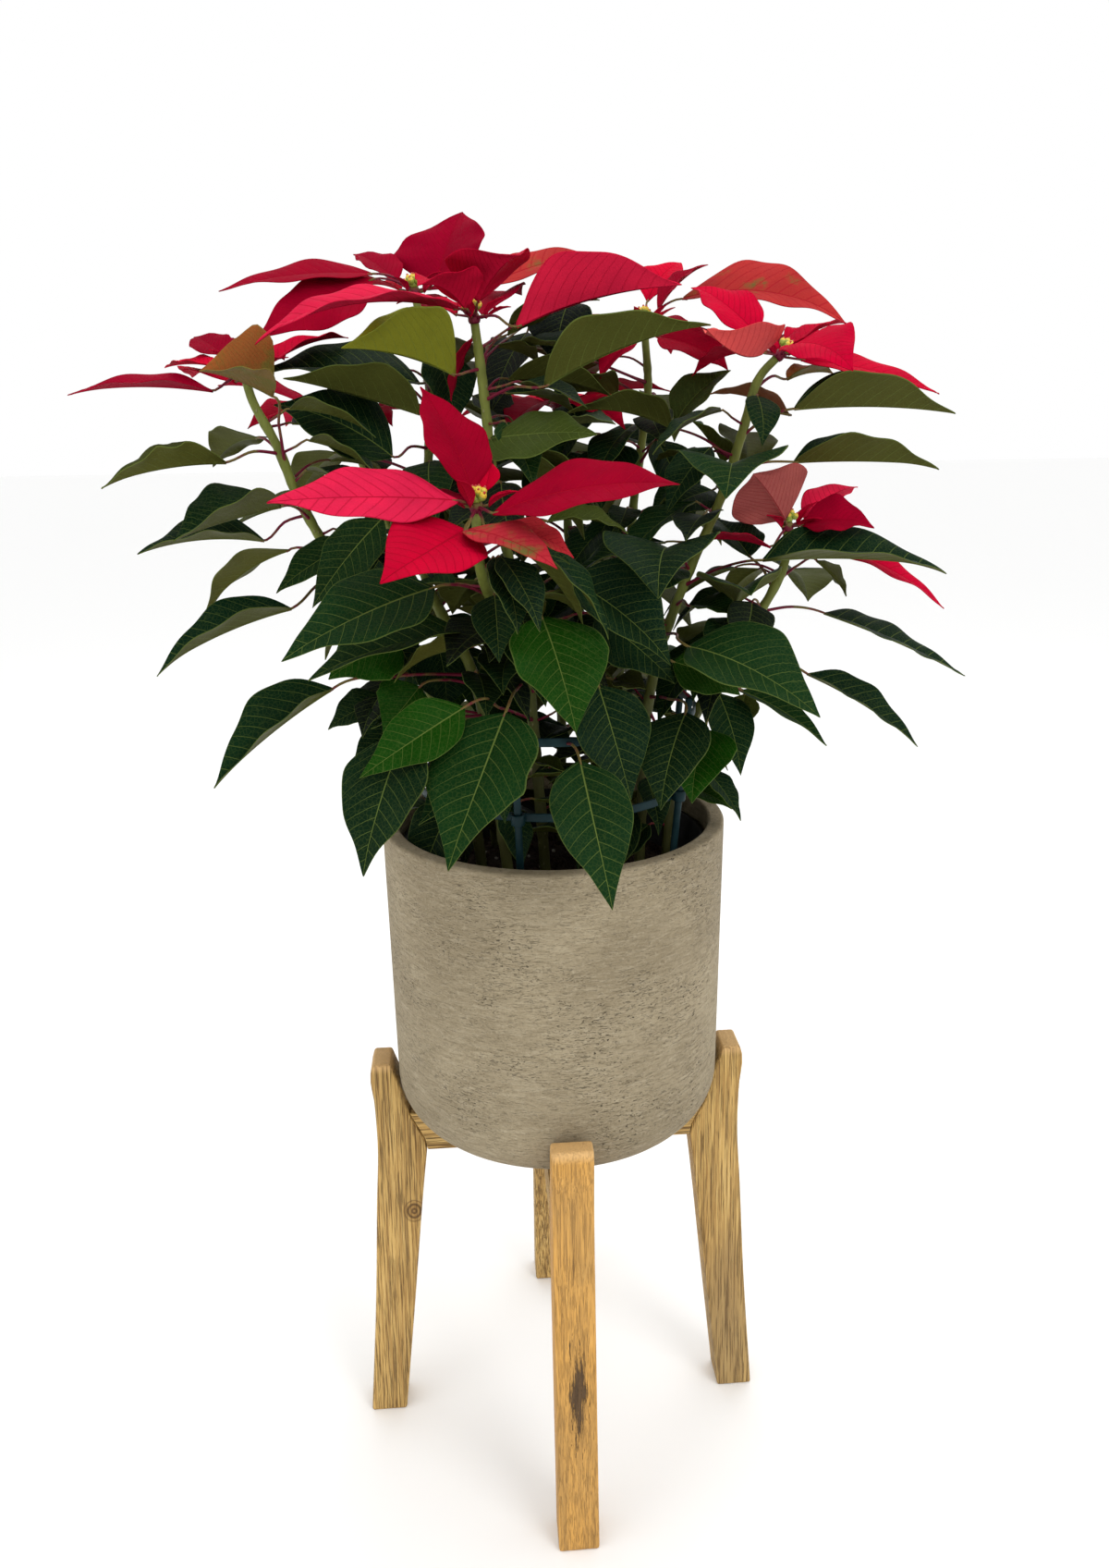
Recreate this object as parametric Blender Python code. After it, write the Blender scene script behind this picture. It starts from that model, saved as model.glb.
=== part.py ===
"""Poinsettia in a cement-look planter that stands in a four-legged wooden stand.

Metres, +Z up. The origin is on the floor under the planter's axis. The stand's legs lie on
the X and Y axes and the front is -Y. The plant's layout lists are in millimetres.
"""

import math
import random

import bmesh
import bpy
from mathutils import Matrix, Vector
from mathutils.bvhtree import BVHTree

MM = 0.001
GAP = 0.3 * MM
UP = Vector((0, 0, 1))

# Planter
RIM_RADIUS = 150 * MM
BASE_RADIUS = 145 * MM
WALL = 14 * MM
RIM_HEIGHT = 586.5 * MM
PLANTER_BOTTOM = 311.3 * MM
BASE_FILLET = 44 * MM
FLOOR_THICKNESS = 16 * MM
INNER_FILLET = 30 * MM
RIM_ROUNDING = 3 * MM
ROUND_SIDES = 32

# Nursery pot and soil
NURSERY_TOP_RADIUS = 131 * MM
NURSERY_BASE_RADIUS = 98 * MM
NURSERY_TOP = 566 * MM
NURSERY_WALL = 2 * MM
NURSERY_LIP = 2.5 * MM
SOIL_TOP = 530 * MM
SOIL_UNEVENNESS = 4 * MM
SOIL_RISE = 3 * MM
SOIL_RINGS = (0.72, 0.38)
SOIL_SEED = 5
POT_SIDES = 24
HOLE_SIDES = 7
STEM_HOLE_EXCESS = 10 * MM
STAKE_HOLE_EXCESS = 30 * MM

# Stand: leg outline as (distance from the axis, height) in millimetres
LEG_WIDTH = 34 * MM
LEG_OUTER = [(184, 0), (175, 127), (170, 224), (167, 276), (168, 321), (170, 354), (168, 361)]
LEG_INNER = [(152, 361), (144, 338), (137, 311), (124, 285), (122, 274), (126, 240), (138, 124), (151, 0)]
LEG_CHAMFER = 2 * MM
LEG_HEADINGS = {"right": 0, "rear": 90, "left": 180, "front": 270}
BAR_BOTTOM = 274 * MM
BAR_TOP = 311 * MM
BAR_END_BOTTOM = 122 * MM
BAR_END_TOP = 137 * MM
BAR_END_KNEE = (124 * MM, 285 * MM)

# Plant support
STAKE_RADIUS = 3 * MM
STAKE_HEADINGS = [-107, -35, 20, 145]
STAKE_FOOT = (104 * MM, 440 * MM)
STAKE_TOP = (131 * MM, 705 * MM)
STAKE_SIDES = 6
HOOP_HEIGHTS = {"lower": 622 * MM, "upper": 685 * MM}
BAND_HEIGHT = 7 * MM
BAND_THICKNESS = 2 * MM
EYELET_WALL = 2 * MM
EYELET_HEIGHT = 9 * MM
HOOP_SIDES = 20
EYELET_SIDES = 6

# Plant
STEM_FOOT_RADIUS = 5 * MM
STEM_TIP_RADIUS = 3.5 * MM
LONG_SPAN = 60 * MM
HUB_RADIUS = 5 * MM
HUB_HEIGHT = 8 * MM
HUB_RINGS = ((GAP, 0.85), (4 * MM, 1.0), (8 * MM, 0.8))
BRACT_ROOTS = (0.35, 0.65)
HOLE_CLEARANCE = 0.5 * MM
PETIOLE_RADIUS = 1.4 * MM
PETIOLE_ARCH = 5 * MM
LONG_PETIOLE = 35 * MM
BLADE_THICKNESS = 0.8 * MM
BLADE_CLEARANCE = 1.2 * MM
EDGE_WAVE = 1.4 * MM
STEM_SIDES = 5
FOOT_SIDES = 5
CYATHIUM_FOOT = (3.5 * MM, 4.5 * MM, 4 * MM)
BUD_RADIUS = 4 * MM
BUD_SPREAD = 4.3 * MM
BUD_RISE = 6 * MM
TOP_BUD_RISE = 9.5 * MM
BUD_STEP = 0.7 * MM
BUD_SIDES = 4

# Stems from the soil up, as points in millimetres. A branch starts inside its stem.
STEMS = {
    "centre": [(-5, 0, 480), (-12, -8, 600), (-20, -10, 715), (-25, 0, 775), (-41, 0, 845),
               (-50, -10, 928), (-54, -15, 970), (-58, -20, 1005)],
    "front": [(-23, -8, 702), (-28, -25, 730), (-37, -75, 776), (-53, -105, 798), (-62, -140, 842),
              (-62, -150, 866)],
    "right": [(75, 0, 480), (84, 0, 678), (105, 0, 760), (129, 0, 820), (150, 0, 869), (165, 0, 917),
              (182, 0, 966), (192, 0, 976)],
    "back_right": [(60, 60, 480), (62, 72, 620), (70, 84, 695), (78, 98, 750), (85, 105, 837),
                   (96, 115, 909), (102, 120, 950), (99, 120, 1008)],
    "left": [(-60, 10, 480), (-75, 5, 620), (-115, 0, 720), (-160, 0, 785), (-187, -5, 829),
             (-206, -10, 869), (-220, -15, 911), (-238, -20, 952), (-241, -20, 966)],
    "back_left": [(-35, -35, 480), (-55, -48, 660), (-70, -50, 733), (-80, -40, 753), (-105, 10, 798),
                  (-104, 40, 860), (-98, 85, 949), (-108, 98, 1036)],
    "low_right": [(96, -15, 480), (103, -8, 600), (108, -6, 628), (133, 0, 684), (171, -10, 751),
                  (188, -20, 783), (199, -20, 810), (200, -20, 834)],
    "rear_left": [(-45, 60, 480), (-58, 75, 622), (-68, 88, 690), (-120, 118, 780), (-160, 135, 880),
                  (-180, 140, 930)],
    "rear": [(12, 75, 480), (15, 92, 622), (18, 100, 690), (28, 130, 780), (25, 145, 880),
             (20, 150, 935)],
}
BRANCH_OF = {"front": "centre"}

# Leaves: stem, height of its node, blade's seat and tip, width (all mm), roll and fold in
# degrees, bow as a share of the length, and outline. Roll leans the upper face to the front.
LEAVES = [
    ("centre", 970, (-75, -35, 965), (-160, -70, 985), 95, 0, 55, 0.06, "leaf"),
    ("back_left", 955, (-105, 25, 960), (-240, 10, 970), 80, 25, 15, 0.05, "leaf"),
    ("back_left", 935, (-105, 0, 935), (-210, -30, 965), 80, -15, 25, 0.02, "leaf"),
    ("back_left", 905, (-130, 20, 900), (-225, 15, 945), 80, 40, 10, 0.10, "leaf"),
    ("left", 905, (-255, -50, 900), (-345, -75, 885), 60, 0, 35, 0.05, "leaf"),
    ("left", 850, (-215, -50, 865), (-290, -95, 845), 88, 0, 30, 0.02, "leaf"),
    ("left", 855, (-235, -15, 835), (-330, -45, 830), 60, 10, 25, 0.06, "leaf"),
    ("left", 805, (-210, -60, 785), (-310, -100, 745), 55, 10, 40, 0.04, "leaf"),
    ("left", 830, (-160, -40, 835), (-220, -70, 800), 42, 25, 10, 0.05, "leaf"),
    ("back_left", 845, (-135, -60, 855), (-190, -90, 790), 46, 40, 10, 0.05, "leaf"),
    ("front", 798, (-95, -140, 810), (-200, -195, 770), 72, 32, 10, 0.05, "leaf"),
    ("back_left", 760, (-75, -100, 770), (-190, -140, 745), 70, 10, 20, 0.06, "leaf"),
    ("left", 775, (-125, -70, 760), (-180, -95, 735), 62, 40, 5, 0.05, "leaf"),
    ("back_left", 745, (-75, -75, 765), (-130, -90, 750), 50, -20, 20, 0.10, "leaf"),
    ("back_left", 725, (-175, -110, 730), (-260, -160, 670), 58, 15, 45, 0.04, "leaf"),
    ("left", 735, (-140, -60, 710), (-185, -75, 690), 38, 30, 10, 0.05, "leaf"),
    ("back_left", 716, (-110, -80, 735), (-140, -95, 710), 48, 50, 10, 0.05, "leaf"),
    ("back_left", 765, (-95, -35, 745), (-90, -45, 695), 60, 0, 10, 0.05, "leaf"),
    ("back_left", 690, (-120, -160, 705), (-150, -220, 620), 68, 0, 10, 0.06, "leaf"),
    ("centre", 675, (-75, -165, 725), (-150, -200, 685), 48, 45, 10, 0.04, "leaf"),
    ("centre", 712, (-45, -170, 720), (-90, -250, 630), 82, 0, 12, 0.05, "toothed"),
    ("front", 776, (-15, -130, 785), (5, -190, 710), 78, 0, 12, 0.05, "leaf"),
    ("centre", 655, (10, -160, 680), (25, -240, 595), 62, 0, 10, 0.06, "leaf"),
    ("centre", 700, (30, -105, 725), (50, -150, 645), 62, 15, 10, 0.06, "leaf"),
    ("right", 690, (100, -80, 700), (70, -125, 640), 58, 0, 10, 0.05, "leaf"),
    ("low_right", 705, (120, -80, 680), (100, -130, 635), 62, 0, 15, 0.05, "leaf"),
    ("right", 680, (110, -20, 620), (150, -50, 610), 30, 10, 10, 0.05, "leaf"),
    ("right", 745, (100, -110, 755), (185, -185, 715), 85, 20, 15, 0.10, "leaf"),
    ("low_right", 700, (160, -30, 700), (225, -70, 660), 36, 10, 20, 0.05, "leaf"),
    ("low_right", 735, (215, -40, 715), (300, -80, 660), 46, 10, 25, 0.04, "leaf"),
    ("low_right", 765, (240, 0, 760), (370, 0, 700), 50, 14, 15, 0.02, "leaf"),
    ("low_right", 690, (175, 20, 685), (170, 10, 655), 32, 0, 10, 0.02, "leaf"),
    ("right", 787, (170, -60, 815), (325, -60, 805), 78, 10, 25, 0.04, "leaf"),
    ("low_right", 790, (235, 10, 805), (260, 0, 775), 46, -20, 10, 0.05, "leaf"),
    ("low_right", 755, (155, -30, 775), (150, -105, 795), 80, 0, 25, 0.10, "leaf"),
    ("low_right", 785, (175, 10, 810), (155, 60, 840), 50, 0, 15, 0.05, "leaf"),
    ("right", 880, (150, -30, 885), (125, -125, 870), 90, 0, 16, 0.15, "leaf"),
    ("right", 912, (205, -10, 935), (340, -15, 930), 80, 0, 45, 0.03, "leaf"),
    ("right", 880, (215, 20, 890), (345, 20, 885), 62, 0, 45, 0.02, "leaf"),
    ("back_right", 885, (120, 70, 925), (170, 75, 970), 48, 30, 20, 0.08, "leaf"),
    ("right", 893, (110, 30, 920), (15, 10, 935), 62, -5, 30, 0.08, "leaf"),
    ("centre", 945, (-5, -55, 955), (120, -85, 1000), 85, 0, 40, 0.05, "leaf"),
    ("centre", 880, (-50, -55, 915), (30, -105, 920), 75, 30, 0, 0.03, "leaf"),
    ("back_right", 960, (-20, 60, 1010), (40, 30, 1010), 45, 10, 20, 0.08, "leaf"),
    ("back_right", 930, (70, 90, 950), (5, 60, 945), 66, -5, 25, 0.08, "leaf"),
    ("centre", 905, (20, 0, 925), (55, -20, 925), 40, 5, 20, 0.05, "leaf"),
    ("right", 870, (155, 30, 890), (120, 10, 930), 48, 20, 20, 0.05, "leaf"),
    ("right", 865, (150, 50, 865), (85, 10, 840), 58, 20, 10, 0.08, "leaf"),
    ("right", 800, (95, -50, 825), (70, -150, 800), 95, 0, 18, 0.12, "leaf"),
    ("centre", 780, (10, -75, 805), (85, -125, 745), 80, 30, 30, 0.08, "leaf"),
    ("centre", 750, (35, -45, 770), (95, -80, 720), 64, 40, 10, 0.05, "leaf"),
    ("right", 720, (90, -70, 735), (140, -85, 710), 50, 40, 10, 0.05, "leaf"),
    ("right", 770, (115, -40, 775), (150, -70, 770), 40, 10, 15, 0.10, "leaf"),
    ("centre", 835, (-5, -60, 850), (60, -60, 840), 50, 10, 15, 0.10, "leaf"),
    ("centre", 660, (-20, -70, 655), (5, -85, 650), 30, 0, 15, 0.05, "leaf"),
    ("centre", 960, (-45, 30, 990), (0, 60, 975), 45, 10, 20, 0.08, "leaf"),
    ("back_right", 945, (30, 110, 975), (-35, 100, 995), 45, 10, 20, 0.08, "leaf"),
    ("back_left", 880, (-175, 60, 900), (-130, 30, 900), 40, 10, 10, 0.05, "leaf"),
    ("centre", 735, (50, -40, 715), (75, -55, 710), 38, 10, 10, 0.05, "leaf"),
    ("left", 895, (-215, -55, 950), (-265, -75, 970), 95, 33, 45, 0.04, "leaf"),
    ("right", 925, (210, 20, 930), (145, 40, 950), 50, -10, 15, 0.08, "leaf"),
    ("right", 955, (210, 30, 960), (255, 40, 965), 42, 0, 20, 0.08, "leaf"),
]

# Bracts: bloom, seat, tip, width, roll, fold and bow, as in the list of leaves
BRACTS = [
    ("left", (-265, -30, 955), (-380, -20, 955), 46, 7, 18, 0.04),
    ("left", (-265, -15, 975), (-310, 10, 975), 32, 10, 15, 0.05),
    ("left", (-260, 0, 980), (-290, 30, 995), 34, 20, 10, 0.05),
    ("left", (-255, 10, 980), (-260, 50, 1000), 36, 0, 10, 0.05),
    ("back_left", (-145, 90, 1055), (-275, 75, 1040), 50, 25, 8, 0.04),
    ("back_left", (-145, 80, 1050), (-240, 25, 1000), 62, 40, 0, 0.03),
    ("back_left", (-90, 115, 1048), (-65, 145, 1115), 108, 0, 10, 0.05),
    ("back_left", (-125, 110, 1050), (-165, 150, 1080), 42, 10, 15, 0.05),
    ("centre", (-70, -40, 1015), (-220, -100, 990), 64, 10, 15, 0.09),
    ("centre", (-55, -45, 1020), (-25, -95, 1050), 82, 0, 25, 0.08),
    ("centre", (-65, -45, 1010), (-100, -100, 1020), 60, 0, 25, 0.10),
    ("centre", (-26, -60, 1000), (98, -85, 1028), 92, 2, 52, 0.05),
    ("centre", (-50, 20, 1035), (65, 70, 1065), 55, 20, 10, 0.06),
    ("centre", (-60, 0, 995), (-80, 10, 945), 34, 10, 10, 0.05),
    ("back_right", (110, 115, 1025), (155, 120, 1065), 46, 10, 15, 0.08),
    ("back_right", (105, 130, 1035), (145, 170, 1075), 44, 10, 15, 0.08),
    ("back_right", (110, 105, 1000), (165, 60, 970), 62, 20, 10, 0.08),
    ("back_right", (90, 105, 1000), (50, 60, 965), 38, 0, 15, 0.05),
    ("back_right", (85, 110, 1000), (-10, 75, 950), 42, 0, 15, 0.05),
    ("back_right", (135, 125, 1040), (275, 75, 1020), 80, 30, 15, 0.10),
    ("right", (175, -25, 980), (115, -95, 995), 78, 0, 35, -0.10),
    ("right", (180, 15, 995), (130, 50, 1040), 66, 20, 10, 0.08),
    ("right", (210, 25, 995), (255, 60, 1015), 44, 20, 10, 0.05),
    ("right", (200, -20, 985), (235, -75, 965), 72, 20, 10, 0.14),
    ("right", (215, 5, 980), (325, -25, 955), 52, 20, 5, 0.04),
    ("right", (215, 25, 990), (270, 50, 1005), 36, 10, 10, 0.05),
    ("front", (-50, -170, 866), (72, -230, 888), 66, 28, 8, 0.05),
    ("front", (-65, -145, 880), (-100, -110, 955), 66, 0, 10, 0.05),
    ("front", (-75, -165, 875), (-200, -215, 880), 66, 30, 5, 0.02),
    ("front", (-70, -175, 860), (-125, -260, 840), 68, 25, 10, 0.04),
    ("front", (-70, -175, 855), (-10, -235, 835), 46, 10, 10, 0.08),
    ("front", (-55, -165, 860), (5, -190, 845), 44, 10, 10, 0.08),
    ("front", (-70, -160, 870), (-105, -140, 880), 30, 0, 10, 0.05),
    ("front", (-55, -145, 880), (-50, -130, 900), 18, 0, 10, 0.05),
    ("low_right", (195, -30, 845), (160, -60, 885), 70, -50, 10, 0.08),
    ("low_right", (210, -30, 840), (265, -50, 840), 54, 30, 15, 0.10),
    ("low_right", (220, 0, 825), (340, -20, 765), 48, 20, 10, 0.08),
]

# Leaves on the far side, by rule: how many, lowest and highest node in millimetres, and the first
# and last heading in degrees
REAR_LEAVES = {
    "centre": (3, 690, 860, 60, 150),
    "right": (3, 700, 900, 30, 110),
    "back_right": (6, 680, 940, 15, 150),
    "left": (3, 730, 900, 80, 170),
    "back_left": (2, 820, 940, 70, 150),
    "low_right": (3, 690, 790, 20, 100),
    "rear_left": (6, 660, 890, 60, 240),
    "rear": (7, 660, 900, -20, 200),
}
# Bracts on the far side: how many, and the first and last heading
REAR_BRACTS = {
    "left": (3, 40, 130),
    "back_left": (3, 40, 130),
    "centre": (2, 60, 140),
    "back_right": (2, 60, 150),
    "right": (3, 30, 130),
    "low_right": (3, 40, 160),
    "rear_left": (6, 0, 300),
    "rear": (6, 0, 300),
}
REAR_PETIOLE = (32 * MM, 46 * MM)
REAR_LEAF_LIFT = (5, 20)
REAR_LEAF_ROLL = 15
REAR_BRACT_SEAT = (16, 24)
REAR_BRACT_LIFT = 4 * MM
REAR_BRACT_TURN = 8
REAR_BRACT_ROLL = 10
REAR_LEAF_LENGTH = (85 * MM, 112 * MM)
REAR_LEAF_SLIMNESS = (0.55, 0.68)
REAR_LEAF_DIP = (10, 40)
REAR_BRACT_LENGTH = (68 * MM, 98 * MM)
REAR_BRACT_SLIMNESS = (0.46, 0.58)
REAR_BRACT_RISE = (-15, 20)
REAR_FOLD = 15
REAR_BOW = 0.08
GOLDEN_SHARE = 0.618
REAR_SEED = 11

# Outlines: places along the blade and half widths there, as shares of the length and of the half width
OUTLINES = {
    "leaf": [(0.10, 0.55), (0.30, 0.98), (0.50, 0.94), (0.70, 0.60), (0.87, 0.24)],
    "middling leaf": [(0.12, 0.64), (0.36, 1.00), (0.60, 0.80), (0.82, 0.36)],
    "short leaf": [(0.14, 0.70), (0.42, 1.00), (0.72, 0.58)],
    "toothed": [(0.10, 0.62), (0.28, 0.98), (0.46, 0.98), (0.54, 0.94), (0.70, 0.61), (0.88, 0.21)],
    "bract": [(0.12, 0.54), (0.32, 0.97), (0.50, 0.96), (0.71, 0.63), (0.89, 0.21)],
    "middling bract": [(0.15, 0.62), (0.36, 1.00), (0.58, 0.87), (0.82, 0.38)],
    "short bract": [(0.18, 0.75), (0.42, 1.00), (0.75, 0.55)],
}
SHORT_BLADE = 62 * MM
MIDDLING_BLADE = 108 * MM

GREEN = (0.030, 0.085, 0.030)
STEM_GREEN = (0.22, 0.27, 0.06)
RED = (0.50, 0.008, 0.022)
YELLOW_GREEN = (0.35, 0.38, 0.07)
CEMENT = (0.33, 0.29, 0.22)
OAK = (0.42, 0.25, 0.09)
BLACK_PLASTIC = (0.015, 0.015, 0.015)
SUPPORT_GREEN = (0.010, 0.045, 0.045)
PEAT = (0.020, 0.013, 0.009)


def clear_scene():
    for obj in list(bpy.data.objects):
        bpy.data.objects.remove(obj)


def principled(name, colour, roughness):
    material = bpy.data.materials.new(name)
    material.use_nodes = True
    shader = material.node_tree.nodes["Principled BSDF"]
    shader.inputs["Base Color"].default_value = (*colour, 1)
    shader.inputs["Roughness"].default_value = roughness
    shader.inputs["Metallic"].default_value = 0
    return material


def add_object(name, shape, colour, roughness):
    """Turns a bmesh into an object of the scene, with a material of its own."""
    mesh = bpy.data.meshes.new(name)
    if shape.calc_volume(signed=True) < 0:
        bmesh.ops.reverse_faces(shape, faces=shape.faces)
    shape.to_mesh(mesh)
    shape.free()
    mesh.materials.append(principled(name, colour, roughness))
    obj = bpy.data.objects.new(name, mesh)
    bpy.context.scene.collection.objects.link(obj)
    return obj


def shade_round(obj, degrees=35):
    obj.data.shade_smooth()
    obj.data.set_sharp_from_angle(angle=math.radians(degrees))


def apply_boolean(obj, others, operation, solver="EXACT"):
    """Joins the others to an object, or cuts them from it, and removes them."""
    group = bpy.data.collections.new(obj.name + "_" + operation.lower())
    for other in others:
        group.objects.link(other)
    boolean = obj.modifiers.new(operation.title(), "BOOLEAN")
    boolean.operation = operation
    boolean.operand_type = "COLLECTION"
    boolean.collection = group
    boolean.solver = solver
    graph = bpy.context.evaluated_depsgraph_get()
    joined = bpy.data.meshes.new_from_object(obj.evaluated_get(graph))
    obj.modifiers.clear()
    obj.data = joined
    for other in others:
        bpy.data.objects.remove(other)
    bpy.data.collections.remove(group)


def arc(centre_r, centre_z, radius, first, last, count):
    """Points (r, z) of an arc, with its angles in degrees."""
    steps = [math.radians(first + (last - first) * k / count) for k in range(count + 1)]
    return [(centre_r + radius * math.cos(a), centre_z + radius * math.sin(a)) for a in steps]


def turned(profile, sides):
    """A solid of revolution about Z. The profile starts or ends on the axis, or is a closed ring."""
    shape = bmesh.new()
    points = [shape.verts.new((r, 0, z)) for r, z in profile]
    edges = [shape.edges.new(pair) for pair in zip(points, points[1:])]
    if profile[0][0] > 0:
        edges.append(shape.edges.new((points[-1], points[0])))
    bmesh.ops.spin(shape, geom=points + edges, cent=(0, 0, 0), axis=(0, 0, 1),
                   angle=math.tau, steps=sides)
    bmesh.ops.remove_doubles(shape, verts=shape.verts, dist=0.01 * MM)
    bmesh.ops.recalc_face_normals(shape, faces=shape.faces)
    return shape


def turned_xyz(heading, radius, z):
    angle = math.radians(heading)
    return Vector((radius * math.cos(angle), radius * math.sin(angle), z))


def make_planter():
    side_bottom = PLANTER_BOTTOM + BASE_FILLET
    floor = PLANTER_BOTTOM + FLOOR_THICKNESS
    inner_base = BASE_RADIUS - WALL
    inner_rim = RIM_RADIUS - WALL
    rim_z = RIM_HEIGHT - RIM_ROUNDING
    profile = [(0, PLANTER_BOTTOM)]
    profile += arc(BASE_RADIUS - BASE_FILLET, side_bottom, BASE_FILLET, -90, 0, 3)
    profile += arc(RIM_RADIUS - RIM_ROUNDING, rim_z, RIM_ROUNDING, 0, 90, 2)
    profile += arc(inner_rim + RIM_ROUNDING, rim_z, RIM_ROUNDING, 90, 180, 2)
    profile += arc(inner_base - INNER_FILLET, floor + INNER_FILLET, INNER_FILLET, 0, -90, 2)
    profile.append((0, floor))
    shade_round(add_object("planter", turned(profile, ROUND_SIDES), CEMENT, 0.85))


def nursery_radius(z):
    """Outer radius of the nursery pot at a height."""
    foot = PLANTER_BOTTOM + FLOOR_THICKNESS + GAP
    share = (z - foot) / (NURSERY_TOP - foot)
    return NURSERY_BASE_RADIUS + (NURSERY_TOP_RADIUS - NURSERY_BASE_RADIUS) * share


def make_nursery_pot():
    foot = PLANTER_BOTTOM + FLOOR_THICKNESS + GAP
    top = NURSERY_TOP
    inner_floor = foot + NURSERY_WALL
    lip = NURSERY_TOP_RADIUS + NURSERY_LIP
    profile = [(0, foot), (NURSERY_BASE_RADIUS, foot), (NURSERY_TOP_RADIUS, top), (lip, top),
               (lip, top + NURSERY_LIP),
               (NURSERY_TOP_RADIUS - NURSERY_WALL, top + NURSERY_LIP),
               (nursery_radius(inner_floor) - NURSERY_WALL, inner_floor), (0, inner_floor)]
    shade_round(add_object("nursery_pot", turned(profile, POT_SIDES), BLACK_PLASTIC, 0.5))


def rod(foot, top, radius, sides):
    """A bmesh cylinder between two points."""
    shape = bmesh.new()
    along = top - foot
    bmesh.ops.create_cone(shape, cap_ends=True, segments=sides, radius1=radius, radius2=radius,
                          depth=along.length)
    turn = along.to_track_quat("Z", "Y").to_matrix().to_4x4()
    bmesh.ops.transform(shape, matrix=Matrix.Translation((foot + top) / 2) @ turn, verts=shape.verts)
    return shape


def stake_at(heading, z):
    """Centre of a stake at a height, on its slanted line."""
    foot_r, foot_z = STAKE_FOOT
    top_r, top_z = STAKE_TOP
    return turned_xyz(heading, foot_r + (top_r - foot_r) * (z - foot_z) / (top_z - foot_z), z)


def make_soil():
    """Soil with an uneven top and a plain hole for each stem and stake."""
    clearance = NURSERY_WALL + GAP
    foot = PLANTER_BOTTOM + FLOOR_THICKNESS + GAP + clearance
    top_radius = nursery_radius(SOIL_TOP) - clearance - GAP
    foot_radius = nursery_radius(foot) - clearance - GAP
    profile = [(0, foot), (foot_radius, foot), (top_radius, SOIL_TOP)]
    profile += [(top_radius * share, SOIL_TOP + SOIL_RISE) for share in SOIL_RINGS]
    profile.append((0, SOIL_TOP + SOIL_RISE))
    shape = turned(profile, POT_SIDES // 2)
    draw = random.Random(SOIL_SEED)
    in_order = sorted(shape.verts, key=lambda v: [round(v.co[axis], 5) for axis in (2, 0, 1)])
    for point in in_order:
        if point.co.z > SOIL_TOP + MM:
            point.co.z += draw.uniform(-1, 1) * SOIL_UNEVENNESS
    bmesh.ops.triangulate(shape, faces=shape.faces)
    soil = add_object("soil", shape, PEAT, 0.95)
    cutters = []
    for name, points in STEMS.items():
        if name in BRANCH_OF:
            continue
        foot_point, next_point = smooth_path(points)[:2]
        along = (next_point - foot_point).normalized()
        radius = STEM_FOOT_RADIUS + 2 * HOLE_CLEARANCE
        low_end = foot_point - along * HOLE_CLEARANCE
        high_end = next_point + along * STEM_HOLE_EXCESS
        cutters.append(rod(low_end, high_end, radius, HOLE_SIDES))
    for heading in STAKE_HEADINGS:
        bottom = stake_at(heading, STAKE_FOOT[1] - HOLE_CLEARANCE)
        top = stake_at(heading, SOIL_TOP + STAKE_HOLE_EXCESS)
        cutters.append(rod(bottom, top, STAKE_RADIUS + 2 * HOLE_CLEARANCE, HOLE_SIDES))
    holes = [add_object("hole", cutter, PEAT, 0.9) for cutter in cutters]
    apply_boolean(soil, holes, "DIFFERENCE")


def extruded(outline, thickness):
    """A plate with an outline in X and Z, centred on Y."""
    shape = bmesh.new()
    points = [shape.verts.new((x, -thickness / 2, z)) for x, z in outline]
    face = shape.faces.new(points)
    grown = bmesh.ops.extrude_face_region(shape, geom=[face])
    moved = [item for item in grown["geom"] if isinstance(item, bmesh.types.BMVert)]
    bmesh.ops.translate(shape, vec=(0, thickness, 0), verts=moved)
    bmesh.ops.recalc_face_normals(shape, faces=shape.faces)
    return shape


def chamfer(obj, width):
    bevel = obj.modifiers.new("Bevel", "BEVEL")
    bevel.width = width
    bevel.segments = 1
    bevel.limit_method = "ANGLE"
    bevel.angle_limit = math.radians(40)


def make_legs():
    outline = [(r * MM, z * MM) for r, z in LEG_OUTER + LEG_INNER]
    for place, heading in LEG_HEADINGS.items():
        leg = add_object("leg_" + place, extruded(outline, LEG_WIDTH), OAK, 0.6)
        leg.rotation_euler.z = math.radians(heading)
        chamfer(leg, LEG_CHAMFER)


def make_bars():
    """Two bars under the planter, halved over each other, that run from leg to leg."""
    middle = (BAR_BOTTOM + BAR_TOP) / 2
    half = LEG_WIDTH / 2 + GAP
    low_end = BAR_END_BOTTOM - 2 * GAP
    high_end = BAR_END_TOP - 2 * GAP
    knee = (BAR_END_KNEE[0] - 2 * GAP, BAR_END_KNEE[1])
    lower = [(-low_end, BAR_BOTTOM), (low_end, BAR_BOTTOM), knee, (high_end, BAR_TOP), (half, BAR_TOP),
             (half, middle - GAP / 2), (-half, middle - GAP / 2), (-half, BAR_TOP), (-high_end, BAR_TOP),
             (-knee[0], knee[1])]
    upper = [(-low_end, BAR_BOTTOM), (-half, BAR_BOTTOM), (-half, middle + GAP / 2),
             (half, middle + GAP / 2), (half, BAR_BOTTOM), (low_end, BAR_BOTTOM), knee,
             (high_end, BAR_TOP), (-high_end, BAR_TOP), (-knee[0], knee[1])]
    add_object("bar_left_right", extruded(lower, LEG_WIDTH), OAK, 0.6)
    bar = add_object("bar_front_rear", extruded(upper, LEG_WIDTH), OAK, 0.6)
    bar.rotation_euler.z = math.radians(90)


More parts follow.
